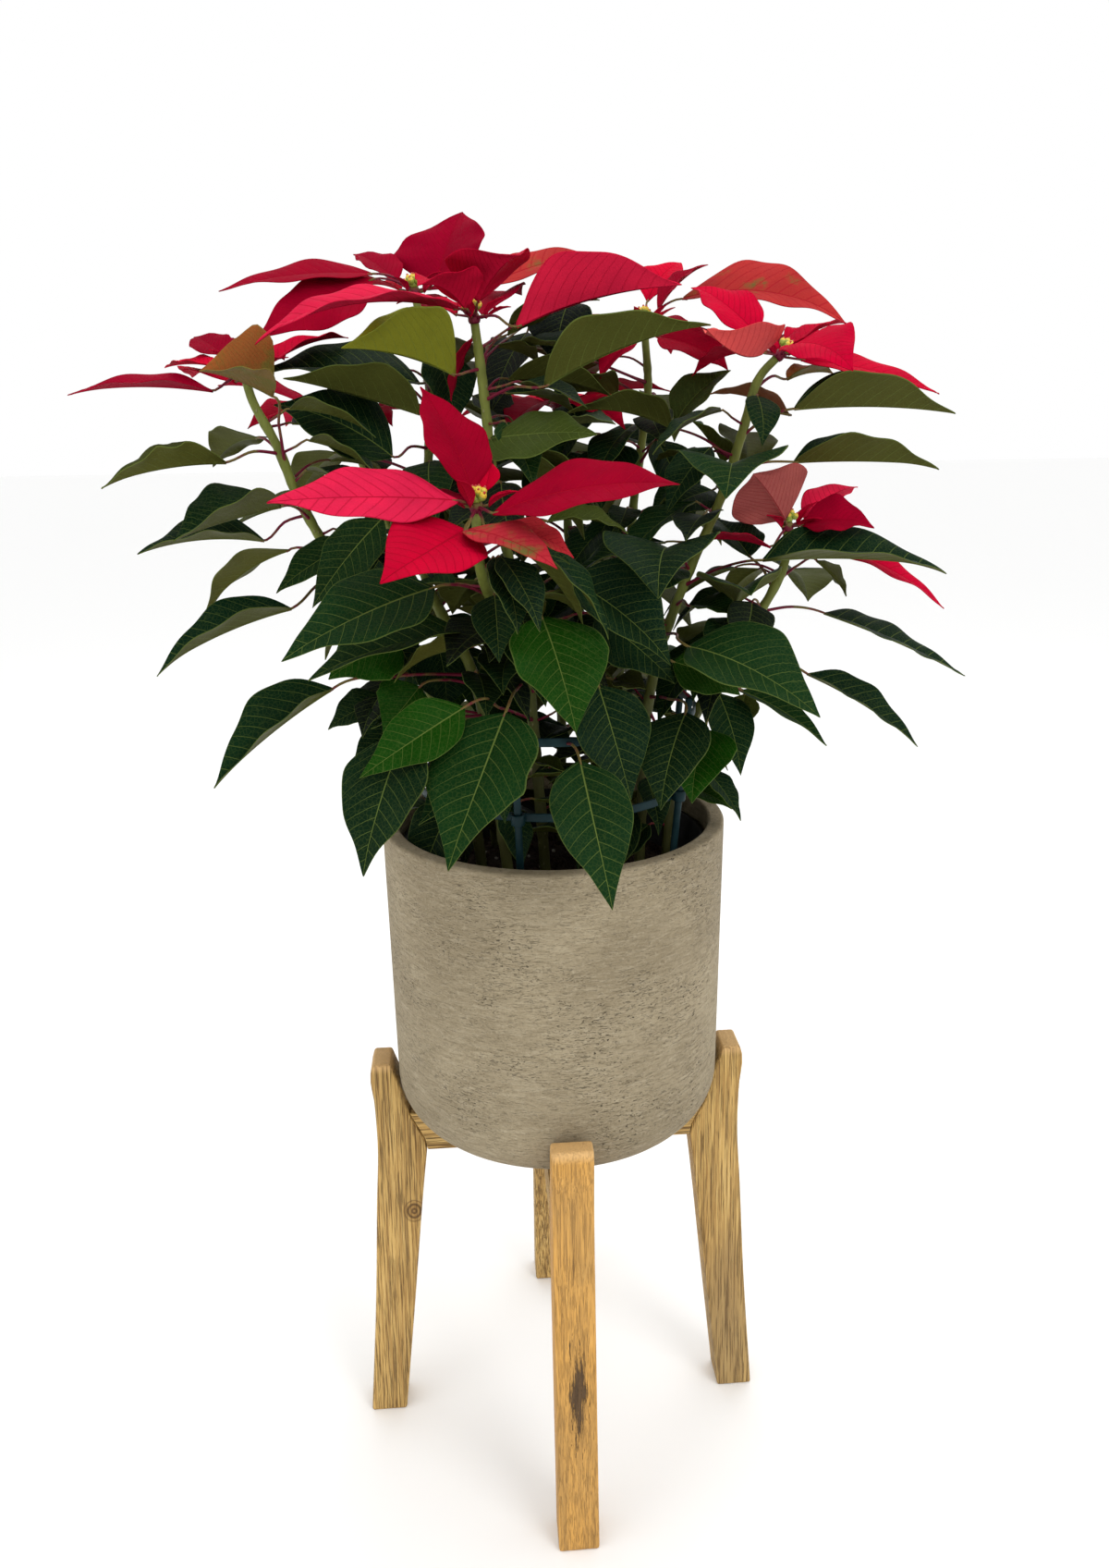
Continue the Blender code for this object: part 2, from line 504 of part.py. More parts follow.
def make_support():
    """Stakes in the soil, and two hoops that hold them by eyelets. The stakes lean outwards."""
    for number, heading in enumerate(STAKE_HEADINGS, 1):
        foot = stake_at(heading, STAKE_FOOT[1])
        top = stake_at(heading, STAKE_TOP[1])
        shade_round(add_object(f"stake_{number}", rod(foot, top, STAKE_RADIUS, STAKE_SIDES),
                               SUPPORT_GREEN, 0.45), 65)
    eyelet_inner = STAKE_RADIUS + 2 * GAP
    eyelet_outer = eyelet_inner + EYELET_WALL
    for place, z in HOOP_HEIGHTS.items():
        band_outer = stake_at(0, z).x - eyelet_inner - EYELET_WALL / 3
        band_inner = band_outer - BAND_THICKNESS
        low, high = z - BAND_HEIGHT / 2, z + BAND_HEIGHT / 2
        band = [(band_inner, low), (band_outer, low), (band_outer, high), (band_inner, high)]
        hoop = add_object("hoop_" + place, turned(band, HOOP_SIDES), SUPPORT_GREEN, 0.45)
        eyelets = []
        for heading in STAKE_HEADINGS:
            low, high = -EYELET_HEIGHT / 2, EYELET_HEIGHT / 2
            ring = turned([(eyelet_inner, low), (eyelet_outer, low), (eyelet_outer, high),
                           (eyelet_inner, high)], EYELET_SIDES)
            lean = stake_at(heading, z + MM) - stake_at(heading, z)
            turn = lean.to_track_quat("Z", "Y").to_matrix().to_4x4()
            bmesh.ops.transform(ring, matrix=Matrix.Translation(stake_at(heading, z)) @ turn,
                                verts=ring.verts)
            eyelets.append(add_object("eyelet", ring, SUPPORT_GREEN, 0.45))
        apply_boolean(hoop, eyelets, "UNION")


def smooth_path(points):
    """A curve through points in millimetres, with one more point in the middle of each long span."""
    ends = [Vector(p) * MM for p in points]
    before = [2 * ends[0] - ends[1]] + ends + [2 * ends[-1] - ends[-2]]
    path = []
    for a, b, c, d in zip(before, before[1:], before[2:], before[3:]):
        path.append(b)
        if (c - b).length > LONG_SPAN:
            path.append((9 * (b + c) - a - d) / 16)
    return path + [ends[-1]]


def point_at_height(path, z):
    """The place where a stem passes a height."""
    for a, b in zip(path, path[1:]):
        if a.z <= z <= b.z:
            return a.lerp(b, (z - a.z) / (b.z - a.z))
    return path[-1].copy()


def loft(rings):
    """A closed bmesh through rings of points, with closed ends. A ring of one point is a tip."""
    shape = bmesh.new()
    rings = [[shape.verts.new(p) for p in ring] for ring in rings]
    if len(rings[0]) > 1:
        shape.faces.new(rings[0][::-1])
    for near, far in zip(rings, rings[1:]):
        for face in ring_faces(near, far):
            shape.faces.new(face)
    if len(rings[-1]) > 1:
        shape.faces.new(rings[-1])
    return shape


def ring_faces(near, far):
    """Triangles between two rings. A blade's upper and lower faces split the same way."""
    if len(near) == 6 and len(far) == 6:
        for k in range(6):
            a, b, c, d = near[k], near[(k + 1) % 6], far[(k + 1) % 6], far[k]
            split_from_a = k in (0, 3, 2)
            yield (a, b, c) if split_from_a else (a, b, d)
            yield (a, c, d) if split_from_a else (b, c, d)
    elif len(near) == 3 and len(far) == 6:
        left, middle, right = near
        yield from ((left, middle, far[1]), (left, far[1], far[0]), (middle, right, far[2]))
        yield from ((middle, far[2], far[1]), (right, far[3], far[2]), (right, far[4], far[3]))
        yield from ((right, left, far[4]), (left, far[5], far[4]), (left, far[0], far[5]))
    elif len(far) == 1:
        for k in range(len(near)):
            yield near[k], near[(k + 1) % len(near)], far[0]
    else:
        for k in range(len(near)):
            j = (k + 1) % len(near)
            yield near[k], near[j], far[j]
            yield near[k], far[j], far[k]


def stem_shape(points, foot_radius=STEM_FOOT_RADIUS, tip_radius=STEM_TIP_RADIUS):
    """A tapering stem along a smooth path."""
    path = smooth_path(points)
    rings = []
    for k, here in enumerate(path):
        along = (path[min(k + 1, len(path) - 1)] - path[max(k - 1, 0)]).normalized()
        side = along.cross(Vector((0, 1, 0))).normalized()
        other = along.cross(side)
        radius = foot_radius + (tip_radius - foot_radius) * k / (len(path) - 1)
        angles = [math.tau * j / STEM_SIDES for j in range(STEM_SIDES)]
        rings.append([here + (side * math.cos(a) + other * math.sin(a)) * radius for a in angles])
    return loft(rings)


def blade_frame(seat, tip, roll):
    """Directions along and across a blade and out of its upper face."""
    along = (tip - seat).normalized()
    up = (UP - along * along.z).normalized()
    lean = along.cross(up)
    if 0.3 * lean.x < lean.y:
        lean = -lean
    angle = math.radians(roll)
    face = up * math.cos(angle) + lean * math.sin(angle)
    return along, along.cross(face), face


def leaf_rings(root, seat, tip, width, roll, fold, bow, outline, thickness=BLADE_THICKNESS):
    """Rings of a leaf: a three-sided petiole that widens into a folded and bowed blade."""
    along, across, face = blade_frame(seat, tip, roll)
    length = (tip - seat).length
    places = [(root, seat - root), (seat, along)]
    if (seat - root).length > LONG_PETIOLE:
        elbow = root.lerp(seat, 0.5) + UP * PETIOLE_ARCH
        places = [(root, elbow - root), (elbow, seat - root), (seat, along)]
    rings = []
    for here, heading in places:
        side = heading.cross(face)
        if side.length < 0.2 * heading.length:
            side = heading.cross(across)
        side = side.normalized() * PETIOLE_RADIUS
        top = side.cross(heading).normalized() * PETIOLE_RADIUS
        rings.append([here - side, here + top, here + side])
    for k, (place, share) in enumerate(outline):
        rib = seat + along * length * place + face * bow * length * 4 * place * (1 - place)
        half = width / 2 * share
        lift = face * (half * math.sin(math.radians(fold)) + EDGE_WAVE * (-1) ** k)
        reach = across * half * math.cos(math.radians(fold))
        depth = face * thickness
        rings.append([rib - reach + lift, rib, rib + reach + lift,
                      rib + reach + lift - depth, rib - depth, rib - reach + lift - depth])
    return rings + [[tip - face * thickness / 2]]


def tree_of(rings):
    """Search tree of a lofted solid."""
    shape = loft(rings)
    tree = BVHTree.FromBMesh(shape)
    shape.free()
    return tree


def tree_of_object(obj):
    graph = bpy.context.evaluated_depsgraph_get()
    shape = bmesh.new()
    shape.from_object(obj, graph)
    shape.transform(obj.matrix_world)
    tree = BVHTree.FromBMesh(shape)
    shape.free()
    return tree


def slides():
    """Offsets to try for a leaf that crosses something, the smallest first."""
    yield Vector((0, 0, 0))
    ways = [(0, -1, 0), (0, 1, 0), (0, 0, -1), (0, 0, 1), (0, -1, -1), (0, 1, 1), (1, 0, 0), (-1, 0, 0)]
    for step in (8, 14, 20, 28, 36, 46):
        for way in ways:
            yield Vector(way).normalized() * step * MM


class Plant:
    """The plant's nodes while they grow, with what is already placed."""

    def __init__(self):
        self.shapes = {}
        self.placed = []

    def add(self, node, rings):
        self.shapes.setdefault(node, []).append(loft(rings))
        self.placed.append((node, tree_of(rings)))

    def add_fixed(self, node, obj):
        self.placed.append((node, tree_of_object(obj)))

    @staticmethod
    def blade_rings(rings):
        return sum(len(ring) == 6 for ring in rings)

    def crosses(self, node, rings, own_too):
        """Whether a leaf meets another node, or its own one too, leaving out its root there."""
        whole = tree_of(rings)
        blade = tree_of(rings[-1 - self.blade_rings(rings):])
        for other, tree in self.placed:
            if other != node and whole.overlap(tree):
                return True
            if own_too and other == node and blade.overlap(tree):
                return True
        return False

    def grow(self, node, root, seat, tip, *form):
        """Adds a leaf, slid clear of what it would cross."""
        for own_too in (True, False):
            for offset in slides():
                moved = (root, seat + offset * 0.6, tip + offset)
                thick = leaf_rings(*moved, *form, thickness=BLADE_THICKNESS + 2 * BLADE_CLEARANCE)
                if not self.crosses(node, thick, own_too):
                    self.add(node, leaf_rings(*moved, *form))
                    return
        raise ValueError(f"no clear place for a leaf of {node} with its tip at {tip}")


def outline_for(kind, length):
    """The outline for a blade of a length: shorter ones need fewer points."""
    if kind == "toothed" or length > MIDDLING_BLADE:
        return OUTLINES[kind]
    return OUTLINES[("short " if length < SHORT_BLADE else "middling ") + kind]


def to_metres(point):
    return Vector(point) * MM


def hub_of(name):
    """Top of a stem and the way it points."""
    path = smooth_path(STEMS[name])
    return path[-1], (path[-1] - path[-2]).normalized()


def ring_about(centre, axis, radius, sides=FOOT_SIDES):
    side = axis.cross(Vector((0, 1, 0))).normalized()
    other = axis.cross(side)
    angles = [math.tau * k / sides for k in range(sides)]
    return [centre + (side * math.cos(a) + other * math.sin(a)) * radius for a in angles]


def add_hub(plant, name):
    """The red foot of a bloom, on top of its stem, which its bracts grow from."""
    top, axis = hub_of(name)
    plant.add("bloom_" + name, [ring_about(top + axis * h, axis, HUB_RADIUS * s) for h, s in HUB_RINGS])


def bract_root(plant, name):
    """Where a bract's petiole starts, at its own height inside the hub."""
    top, axis = hub_of(name)
    turn = len(plant.shapes["bloom_" + name]) * GOLDEN_SHARE % 1
    low, high = BRACT_ROOTS
    return top + axis * HUB_HEIGHT * (low + (high - low) * turn)


def add_cyathia(plant, name):
    """The cluster of buds on a hub, joined by a short foot."""
    top, axis = hub_of(name)
    foot = top + axis * (HUB_HEIGHT + GAP)
    node = "cyathia_" + name
    low_radius, high_radius, height = CYATHIUM_FOOT
    plant.add(node, [ring_about(foot, axis, low_radius),
                     ring_about(foot + axis * height, axis, high_radius)])
    around = ring_about(foot + axis * BUD_RISE, axis, BUD_SPREAD, 3)
    for k, place in enumerate([foot + axis * TOP_BUD_RISE] + around):
        centre = place + axis * BUD_STEP * k
        size = BUD_RADIUS * (1 - 0.06 * k)
        plant.add(node, [ring_about(centre - axis * size, axis, size * 0.5, BUD_SIDES),
                         ring_about(centre, axis, size, BUD_SIDES), [centre + axis * size * 1.3]])


def rear_leaf_rows(draw):
    """Leaves on the far side: up each stem, with headings that step by the golden share."""
    for name, (count, low, high, first, last) in REAR_LEAVES.items():
        for k in range(count):
            height = low + (high - low) * k / max(count - 1, 1)
            heading = first + (last - first) * ((k * GOLDEN_SHARE + 0.3) % 1)
            root = point_at_height(smooth_path(STEMS[name]), height * MM)
            out = turned_xyz(heading, 1, 0)
            petiole = draw.uniform(*REAR_PETIOLE)
            length = draw.uniform(*REAR_LEAF_LENGTH)
            seat = root + out * petiole + UP * draw.uniform(*REAR_LEAF_LIFT) * MM
            dip = math.radians(draw.uniform(*REAR_LEAF_DIP))
            tip = seat + (out * math.cos(dip) - UP * math.sin(dip)) * length
            width = length * draw.uniform(*REAR_LEAF_SLIMNESS)
            yield name, root, seat, tip, width, draw.uniform(-REAR_LEAF_ROLL, REAR_LEAF_ROLL)


def rear_bract_rows(draw):
    """Bracts on the far side of each bloom."""
    for name, (count, first, last) in REAR_BRACTS.items():
        top, axis = hub_of(name)
        for k in range(count):
            heading = first + (last - first) * k / max(count - 1, 1)
            heading += draw.uniform(-REAR_BRACT_TURN, REAR_BRACT_TURN)
            out = turned_xyz(heading, 1, 0)
            length = draw.uniform(*REAR_BRACT_LENGTH)
            rise = math.radians(draw.uniform(*REAR_BRACT_RISE))
            seat = top + out * draw.uniform(*REAR_BRACT_SEAT) * MM + (axis + UP) * REAR_BRACT_LIFT
            tip = seat + (out * math.cos(rise) + UP * math.sin(rise)) * length
            width = length * draw.uniform(*REAR_BRACT_SLIMNESS)
            yield name, seat, tip, width, draw.uniform(-REAR_BRACT_ROLL, REAR_BRACT_ROLL)


def make_plant():
    plant = Plant()
    for obj in list(bpy.context.scene.objects):
        plant.add_fixed(obj.name, obj)
    draw = random.Random(REAR_SEED)
    for name, points in STEMS.items():
        node = "stem_" + BRANCH_OF.get(name, name)
        shape = stem_shape(points)
        plant.placed.append((node, BVHTree.FromBMesh(shape)))
        plant.shapes.setdefault(node, []).append(shape)
    for name in STEMS:
        add_hub(plant, name)
        add_cyathia(plant, name)
    for name, seat, tip, width, roll, fold, bow in BRACTS:
        seat, tip = to_metres(seat), to_metres(tip)
        outline = outline_for("bract", (tip - seat).length)
        plant.grow("bloom_" + name, bract_root(plant, name), seat, tip, width * MM, roll, fold, bow,
                   outline)
    for name, height, seat, tip, width, roll, fold, bow, kind in LEAVES:
        root = point_at_height(smooth_path(STEMS[name]), height * MM)
        seat, tip = to_metres(seat), to_metres(tip)
        outline = outline_for(kind, (tip - seat).length)
        node = "stem_" + BRANCH_OF.get(name, name)
        plant.grow(node, root, seat, tip, width * MM, roll, fold, bow, outline)
    for name, seat, tip, width, roll in rear_bract_rows(draw):
        plant.grow("bloom_" + name, bract_root(plant, name), seat, tip, width, roll, REAR_FOLD, REAR_BOW,
                   OUTLINES["middling bract"])
    for name, root, seat, tip, width, roll in rear_leaf_rows(draw):
        node = "stem_" + BRANCH_OF.get(name, name)
        plant.grow(node, root, seat, tip, width, roll, REAR_FOLD, REAR_BOW, OUTLINES["middling leaf"])
    return plant


def join_nodes(plant):
    looks = {"stem": (GREEN, 0.5), "bloom": (RED, 0.5), "cyathia": (YELLOW_GREEN, 0.5)}
    for node, shapes in plant.shapes.items():
        colour, roughness = looks[node.split("_")[0]]
        first, *rest = [add_object(node, shape, colour, roughness) for shape in shapes]
        first.name = node
        apply_boolean(first, rest, "UNION", "MANIFOLD")
        shade_round(first, 50)


def main():
    clear_scene()
    make_planter()
    make_nursery_pot()
    make_legs()
    make_bars()
    make_support()
    make_soil()
    join_nodes(make_plant())


main()
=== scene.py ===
"""Looks of a poinsettia in a cement planter and a wooden stand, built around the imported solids.

Laid out as a Blender add-on and run as a script. Lengths are metres, except in the layout
lists, which are in millimetres as in the solids' own source.
"""

import math
import random

import bmesh
import bpy
import numpy as np
from bpy.props import FloatProperty, FloatVectorProperty, IntProperty, PointerProperty
from mathutils import Matrix, Vector
from mathutils.bvhtree import BVHTree
from mathutils.kdtree import KDTree


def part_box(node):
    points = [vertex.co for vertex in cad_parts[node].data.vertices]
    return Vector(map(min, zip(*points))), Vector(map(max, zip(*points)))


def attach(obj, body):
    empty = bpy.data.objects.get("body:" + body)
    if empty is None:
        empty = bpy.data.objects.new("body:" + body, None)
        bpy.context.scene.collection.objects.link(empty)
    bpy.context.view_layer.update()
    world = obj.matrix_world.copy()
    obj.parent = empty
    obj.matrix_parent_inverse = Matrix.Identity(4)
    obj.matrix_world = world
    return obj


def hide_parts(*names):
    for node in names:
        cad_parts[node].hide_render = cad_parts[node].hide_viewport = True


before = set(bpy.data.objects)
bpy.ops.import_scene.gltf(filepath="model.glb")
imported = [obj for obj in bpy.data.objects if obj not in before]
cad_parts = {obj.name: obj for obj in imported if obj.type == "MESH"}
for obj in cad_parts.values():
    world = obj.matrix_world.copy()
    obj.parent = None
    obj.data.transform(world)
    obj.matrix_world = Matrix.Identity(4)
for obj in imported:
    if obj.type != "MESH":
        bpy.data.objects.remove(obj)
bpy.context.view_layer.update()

bl_info = {
    "name": "Potted Poinsettia",
    "version": (1, 0, 0),
    "blender": (4, 5, 0),
    "location": "3D View > Sidebar > Poinsettia",
    "description": "Dresses the solids of a poinsettia, its planter and its stand",
    "category": "Object",
}

MM = 0.001
UP = Vector((0, 0, 1))

# Stems from the soil up. The one in BRANCH_OF starts inside another stem.
STEMS = {
    "centre": [(-5, 0, 480), (-12, -8, 600), (-20, -10, 715), (-25, 0, 775), (-41, 0, 845),
               (-50, -10, 928), (-54, -15, 970), (-58, -20, 1005)],
    "front": [(-23, -8, 702), (-28, -25, 730), (-37, -75, 776), (-53, -105, 798), (-62, -140, 842),
              (-62, -150, 866)],
    "right": [(75, 0, 480), (84, 0, 678), (105, 0, 760), (129, 0, 820), (150, 0, 869), (165, 0, 917),
              (182, 0, 966), (192, 0, 976)],
    "back_right": [(60, 60, 480), (62, 72, 620), (70, 84, 695), (78, 98, 750), (85, 105, 837),
                   (96, 115, 909), (102, 120, 950), (99, 120, 1008)],
    "left": [(-60, 10, 480), (-75, 5, 620), (-115, 0, 720), (-160, 0, 785), (-187, -5, 829),
             (-206, -10, 869), (-220, -15, 911), (-238, -20, 952), (-241, -20, 966)],
    "back_left": [(-35, -35, 480), (-55, -48, 660), (-70, -50, 733), (-80, -40, 753), (-105, 10, 798),
                  (-104, 40, 860), (-98, 85, 949), (-108, 98, 1036)],
    "low_right": [(96, -15, 480), (103, -8, 600), (108, -6, 628), (133, 0, 684), (171, -10, 751),
                  (188, -20, 783), (199, -20, 810), (200, -20, 834)],
    "rear_left": [(-45, 60, 480), (-58, 75, 622), (-68, 88, 690), (-120, 118, 780), (-160, 135, 880),
                  (-180, 140, 930)],
    "rear": [(12, 75, 480), (15, 92, 622), (18, 100, 690), (28, 130, 780), (25, 145, 880),
             (20, 150, 935)],
}
BRANCH_OF = {"front": "centre"}

# Leaves: stem, height of its node, blade's seat and tip, width, roll and fold in degrees, bow as
# a share of the length, outline, and tone
LEAVES = [
    ("centre", 970, (-75, -35, 965), (-160, -70, 985), 95, 0, 55, 0.06, "leaf", "yellow"),
    ("back_left", 955, (-105, 25, 960), (-240, 10, 970), 80, 25, 15, 0.05, "leaf", "deep"),
    ("back_left", 935, (-105, 0, 935), (-210, -30, 965), 80, -15, 25, 0.02, "leaf", "deep"),
    ("back_left", 905, (-130, 20, 900), (-225, 15, 945), 80, 40, 10, 0.10, "leaf", "deep"),
    ("left", 905, (-255, -50, 900), (-345, -75, 885), 60, 0, 35, 0.05, "scalloped", "olive"),
    ("left", 850, (-215, -50, 865), (-290, -95, 845), 88, 0, 30, 0.02, "leaf", "deep"),
    ("left", 855, (-235, -15, 835), (-330, -45, 830), 60, 10, 25, 0.06, "leaf", "deep"),
    ("left", 805, (-210, -60, 785), (-310, -100, 745), 55, 10, 40, 0.04, "leaf", "deep"),
    ("left", 830, (-160, -40, 835), (-220, -70, 800), 42, 25, 10, 0.05, "leaf", "mid"),
    ("back_left", 845, (-135, -60, 855), (-190, -90, 790), 46, 40, 10, 0.05, "leaf", "mid"),
    ("front", 798, (-95, -140, 810), (-200, -195, 770), 72, 32, 10, 0.05, "leaf", "mid"),
    ("back_left", 760, (-75, -100, 770), (-190, -140, 745), 70, 10, 20, 0.06, "lobed", "mid"),
    ("left", 775, (-125, -70, 760), (-180, -95, 735), 62, 40, 5, 0.05, "jagged", "bright"),
    ("back_left", 745, (-75, -75, 765), (-130, -90, 750), 50, -20, 20, 0.10, "leaf", "olive"),
    ("back_left", 725, (-175, -110, 730), (-260, -160, 670), 58, 15, 45, 0.04, "leaf", "deep"),
    ("left", 735, (-140, -60, 710), (-185, -75, 690), 38, 30, 10, 0.05, "leaf", "deep"),
    ("back_left", 716, (-110, -80, 735), (-140, -95, 710), 48, 50, 10, 0.05, "jagged", "bright"),
    ("back_left", 765, (-95, -35, 745), (-90, -45, 695), 60, 0, 10, 0.05, "leaf", "deep"),
    ("back_left", 690, (-120, -160, 705), (-150, -220, 620), 68, 0, 10, 0.06, "leaf", "deep"),
    ("centre", 675, (-75, -165, 725), (-150, -200, 685), 48, 45, 10, 0.04, "leaf", "bright"),
    ("centre", 712, (-45, -170, 720), (-90, -250, 630), 82, 0, 12, 0.05, "toothed", "mid"),
    ("front", 776, (-15, -130, 785), (5, -190, 710), 78, 0, 12, 0.05, "lobed", "bright"),
    ("centre", 655, (10, -160, 680), (25, -240, 595), 62, 0, 10, 0.06, "leaf", "mid"),
    ("centre", 700, (30, -105, 725), (50, -150, 645), 62, 15, 10, 0.06, "leaf", "deep"),
    ("right", 690, (100, -80, 700), (70, -125, 640), 58, 0, 10, 0.05, "leaf", "deep"),
    ("low_right", 705, (120, -80, 680), (100, -130, 635), 62, 0, 15, 0.05, "lobed", "bright"),
    ("right", 680, (110, -20, 620), (150, -50, 610), 30, 10, 10, 0.05, "leaf", "bright"),
    ("right", 745, (100, -110, 755), (185, -185, 715), 85, 20, 15, 0.10, "leaf", "mid"),
    ("low_right", 700, (160, -30, 700), (225, -70, 660), 36, 10, 20, 0.05, "leaf", "mid"),
    ("low_right", 735, (215, -40, 715), (300, -80, 660), 46, 10, 25, 0.04, "leaf", "deep"),
    ("low_right", 765, (240, 0, 760), (370, 0, 700), 50, 14, 15, 0.02, "leaf", "deep"),
    ("low_right", 690, (175, 20, 685), (170, 10, 655), 32, 0, 10, 0.02, "leaf", "olive"),
    ("right", 787, (170, -60, 815), (325, -60, 805), 78, 10, 25, 0.04, "leaf", "deep"),
    ("low_right", 790, (235, 10, 805), (260, 0, 775), 46, -20, 10, 0.05, "scalloped", "olive"),
    ("low_right", 755, (155, -30, 775), (150, -105, 795), 80, 0, 25, 0.10, "leaf", "mid"),
    ("low_right", 785, (175, 10, 810), (155, 60, 840), 50, 0, 15, 0.05, "leaf", "deep"),
    ("right", 880, (150, -30, 885), (125, -125, 870), 90, 0, 16, 0.15, "leaf", "mid"),
    ("right", 912, (205, -10, 935), (340, -15, 930), 80, 0, 45, 0.03, "leaf", "deep"),
    ("right", 880, (215, 20, 890), (345, 20, 885), 62, 0, 45, 0.02, "leaf", "deep"),
    ("back_right", 885, (120, 70, 925), (170, 75, 970), 48, 30, 20, 0.08, "leaf", "olive"),
    ("right", 893, (110, 30, 920), (15, 10, 935), 62, -5, 30, 0.08, "leaf", "deep"),
    ("centre", 945, (-5, -55, 955), (120, -85, 1000), 85, 0, 40, 0.05, "leaf", "mid"),
    ("centre", 880, (-50, -55, 915), (30, -105, 920), 75, 30, 0, 0.03, "leaf", "olive"),
    ("back_right", 960, (-20, 60, 1010), (40, 30, 1010), 45, 10, 20, 0.08, "leaf", "deep"),
    ("back_right", 930, (70, 90, 950), (5, 60, 945), 66, -5, 25, 0.08, "leaf", "deep"),
    ("centre", 905, (20, 0, 925), (55, -20, 925), 40, 5, 20, 0.05, "leaf", "grey"),
    ("right", 870, (155, 30, 890), (120, 10, 930), 48, 20, 20, 0.05, "leaf", "bright"),
    ("right", 865, (150, 50, 865), (85, 10, 840), 58, 20, 10, 0.08, "leaf", "deep"),
    ("right", 800, (95, -50, 825), (70, -150, 800), 95, 0, 18, 0.12, "leaf", "deep"),
    ("centre", 780, (10, -75, 805), (85, -125, 745), 80, 30, 30, 0.08, "leaf", "deep"),
    ("centre", 750, (35, -45, 770), (95, -80, 720), 64, 40, 10, 0.05, "leaf", "deep"),
    ("right", 720, (90, -70, 735), (140, -85, 710), 50, 40, 10, 0.05, "leaf", "bright"),
    ("right", 770, (115, -40, 775), (150, -70, 770), 40, 10, 15, 0.10, "leaf", "mid"),
    ("centre", 835, (-5, -60, 850), (60, -60, 840), 50, 10, 15, 0.10, "leaf", "olive"),
    ("centre", 660, (-20, -70, 655), (5, -85, 650), 30, 0, 15, 0.05, "leaf", "olive"),
    ("centre", 960, (-45, 30, 990), (0, 60, 975), 45, 10, 20, 0.08, "leaf", "dusky"),
    ("back_right", 945, (30, 110, 975), (-35, 100, 995), 45, 10, 20, 0.08, "leaf", "deep"),
    ("back_left", 880, (-175, 60, 900), (-130, 30, 900), 40, 10, 10, 0.05, "leaf", "olive"),
    ("centre", 735, (50, -40, 715), (75, -55, 710), 38, 10, 10, 0.05, "leaf", "olive"),
    ("left", 895, (-215, -55, 950), (-265, -75, 970), 95, 33, 45, 0.04, "leaf", "turning"),
    ("right", 925, (210, 20, 930), (145, 40, 950), 50, -10, 15, 0.08, "leaf", "rusty"),
    ("right", 955, (210, 30, 960), (255, 40, 965), 42, 0, 20, 0.08, "leaf", "turning"),
]

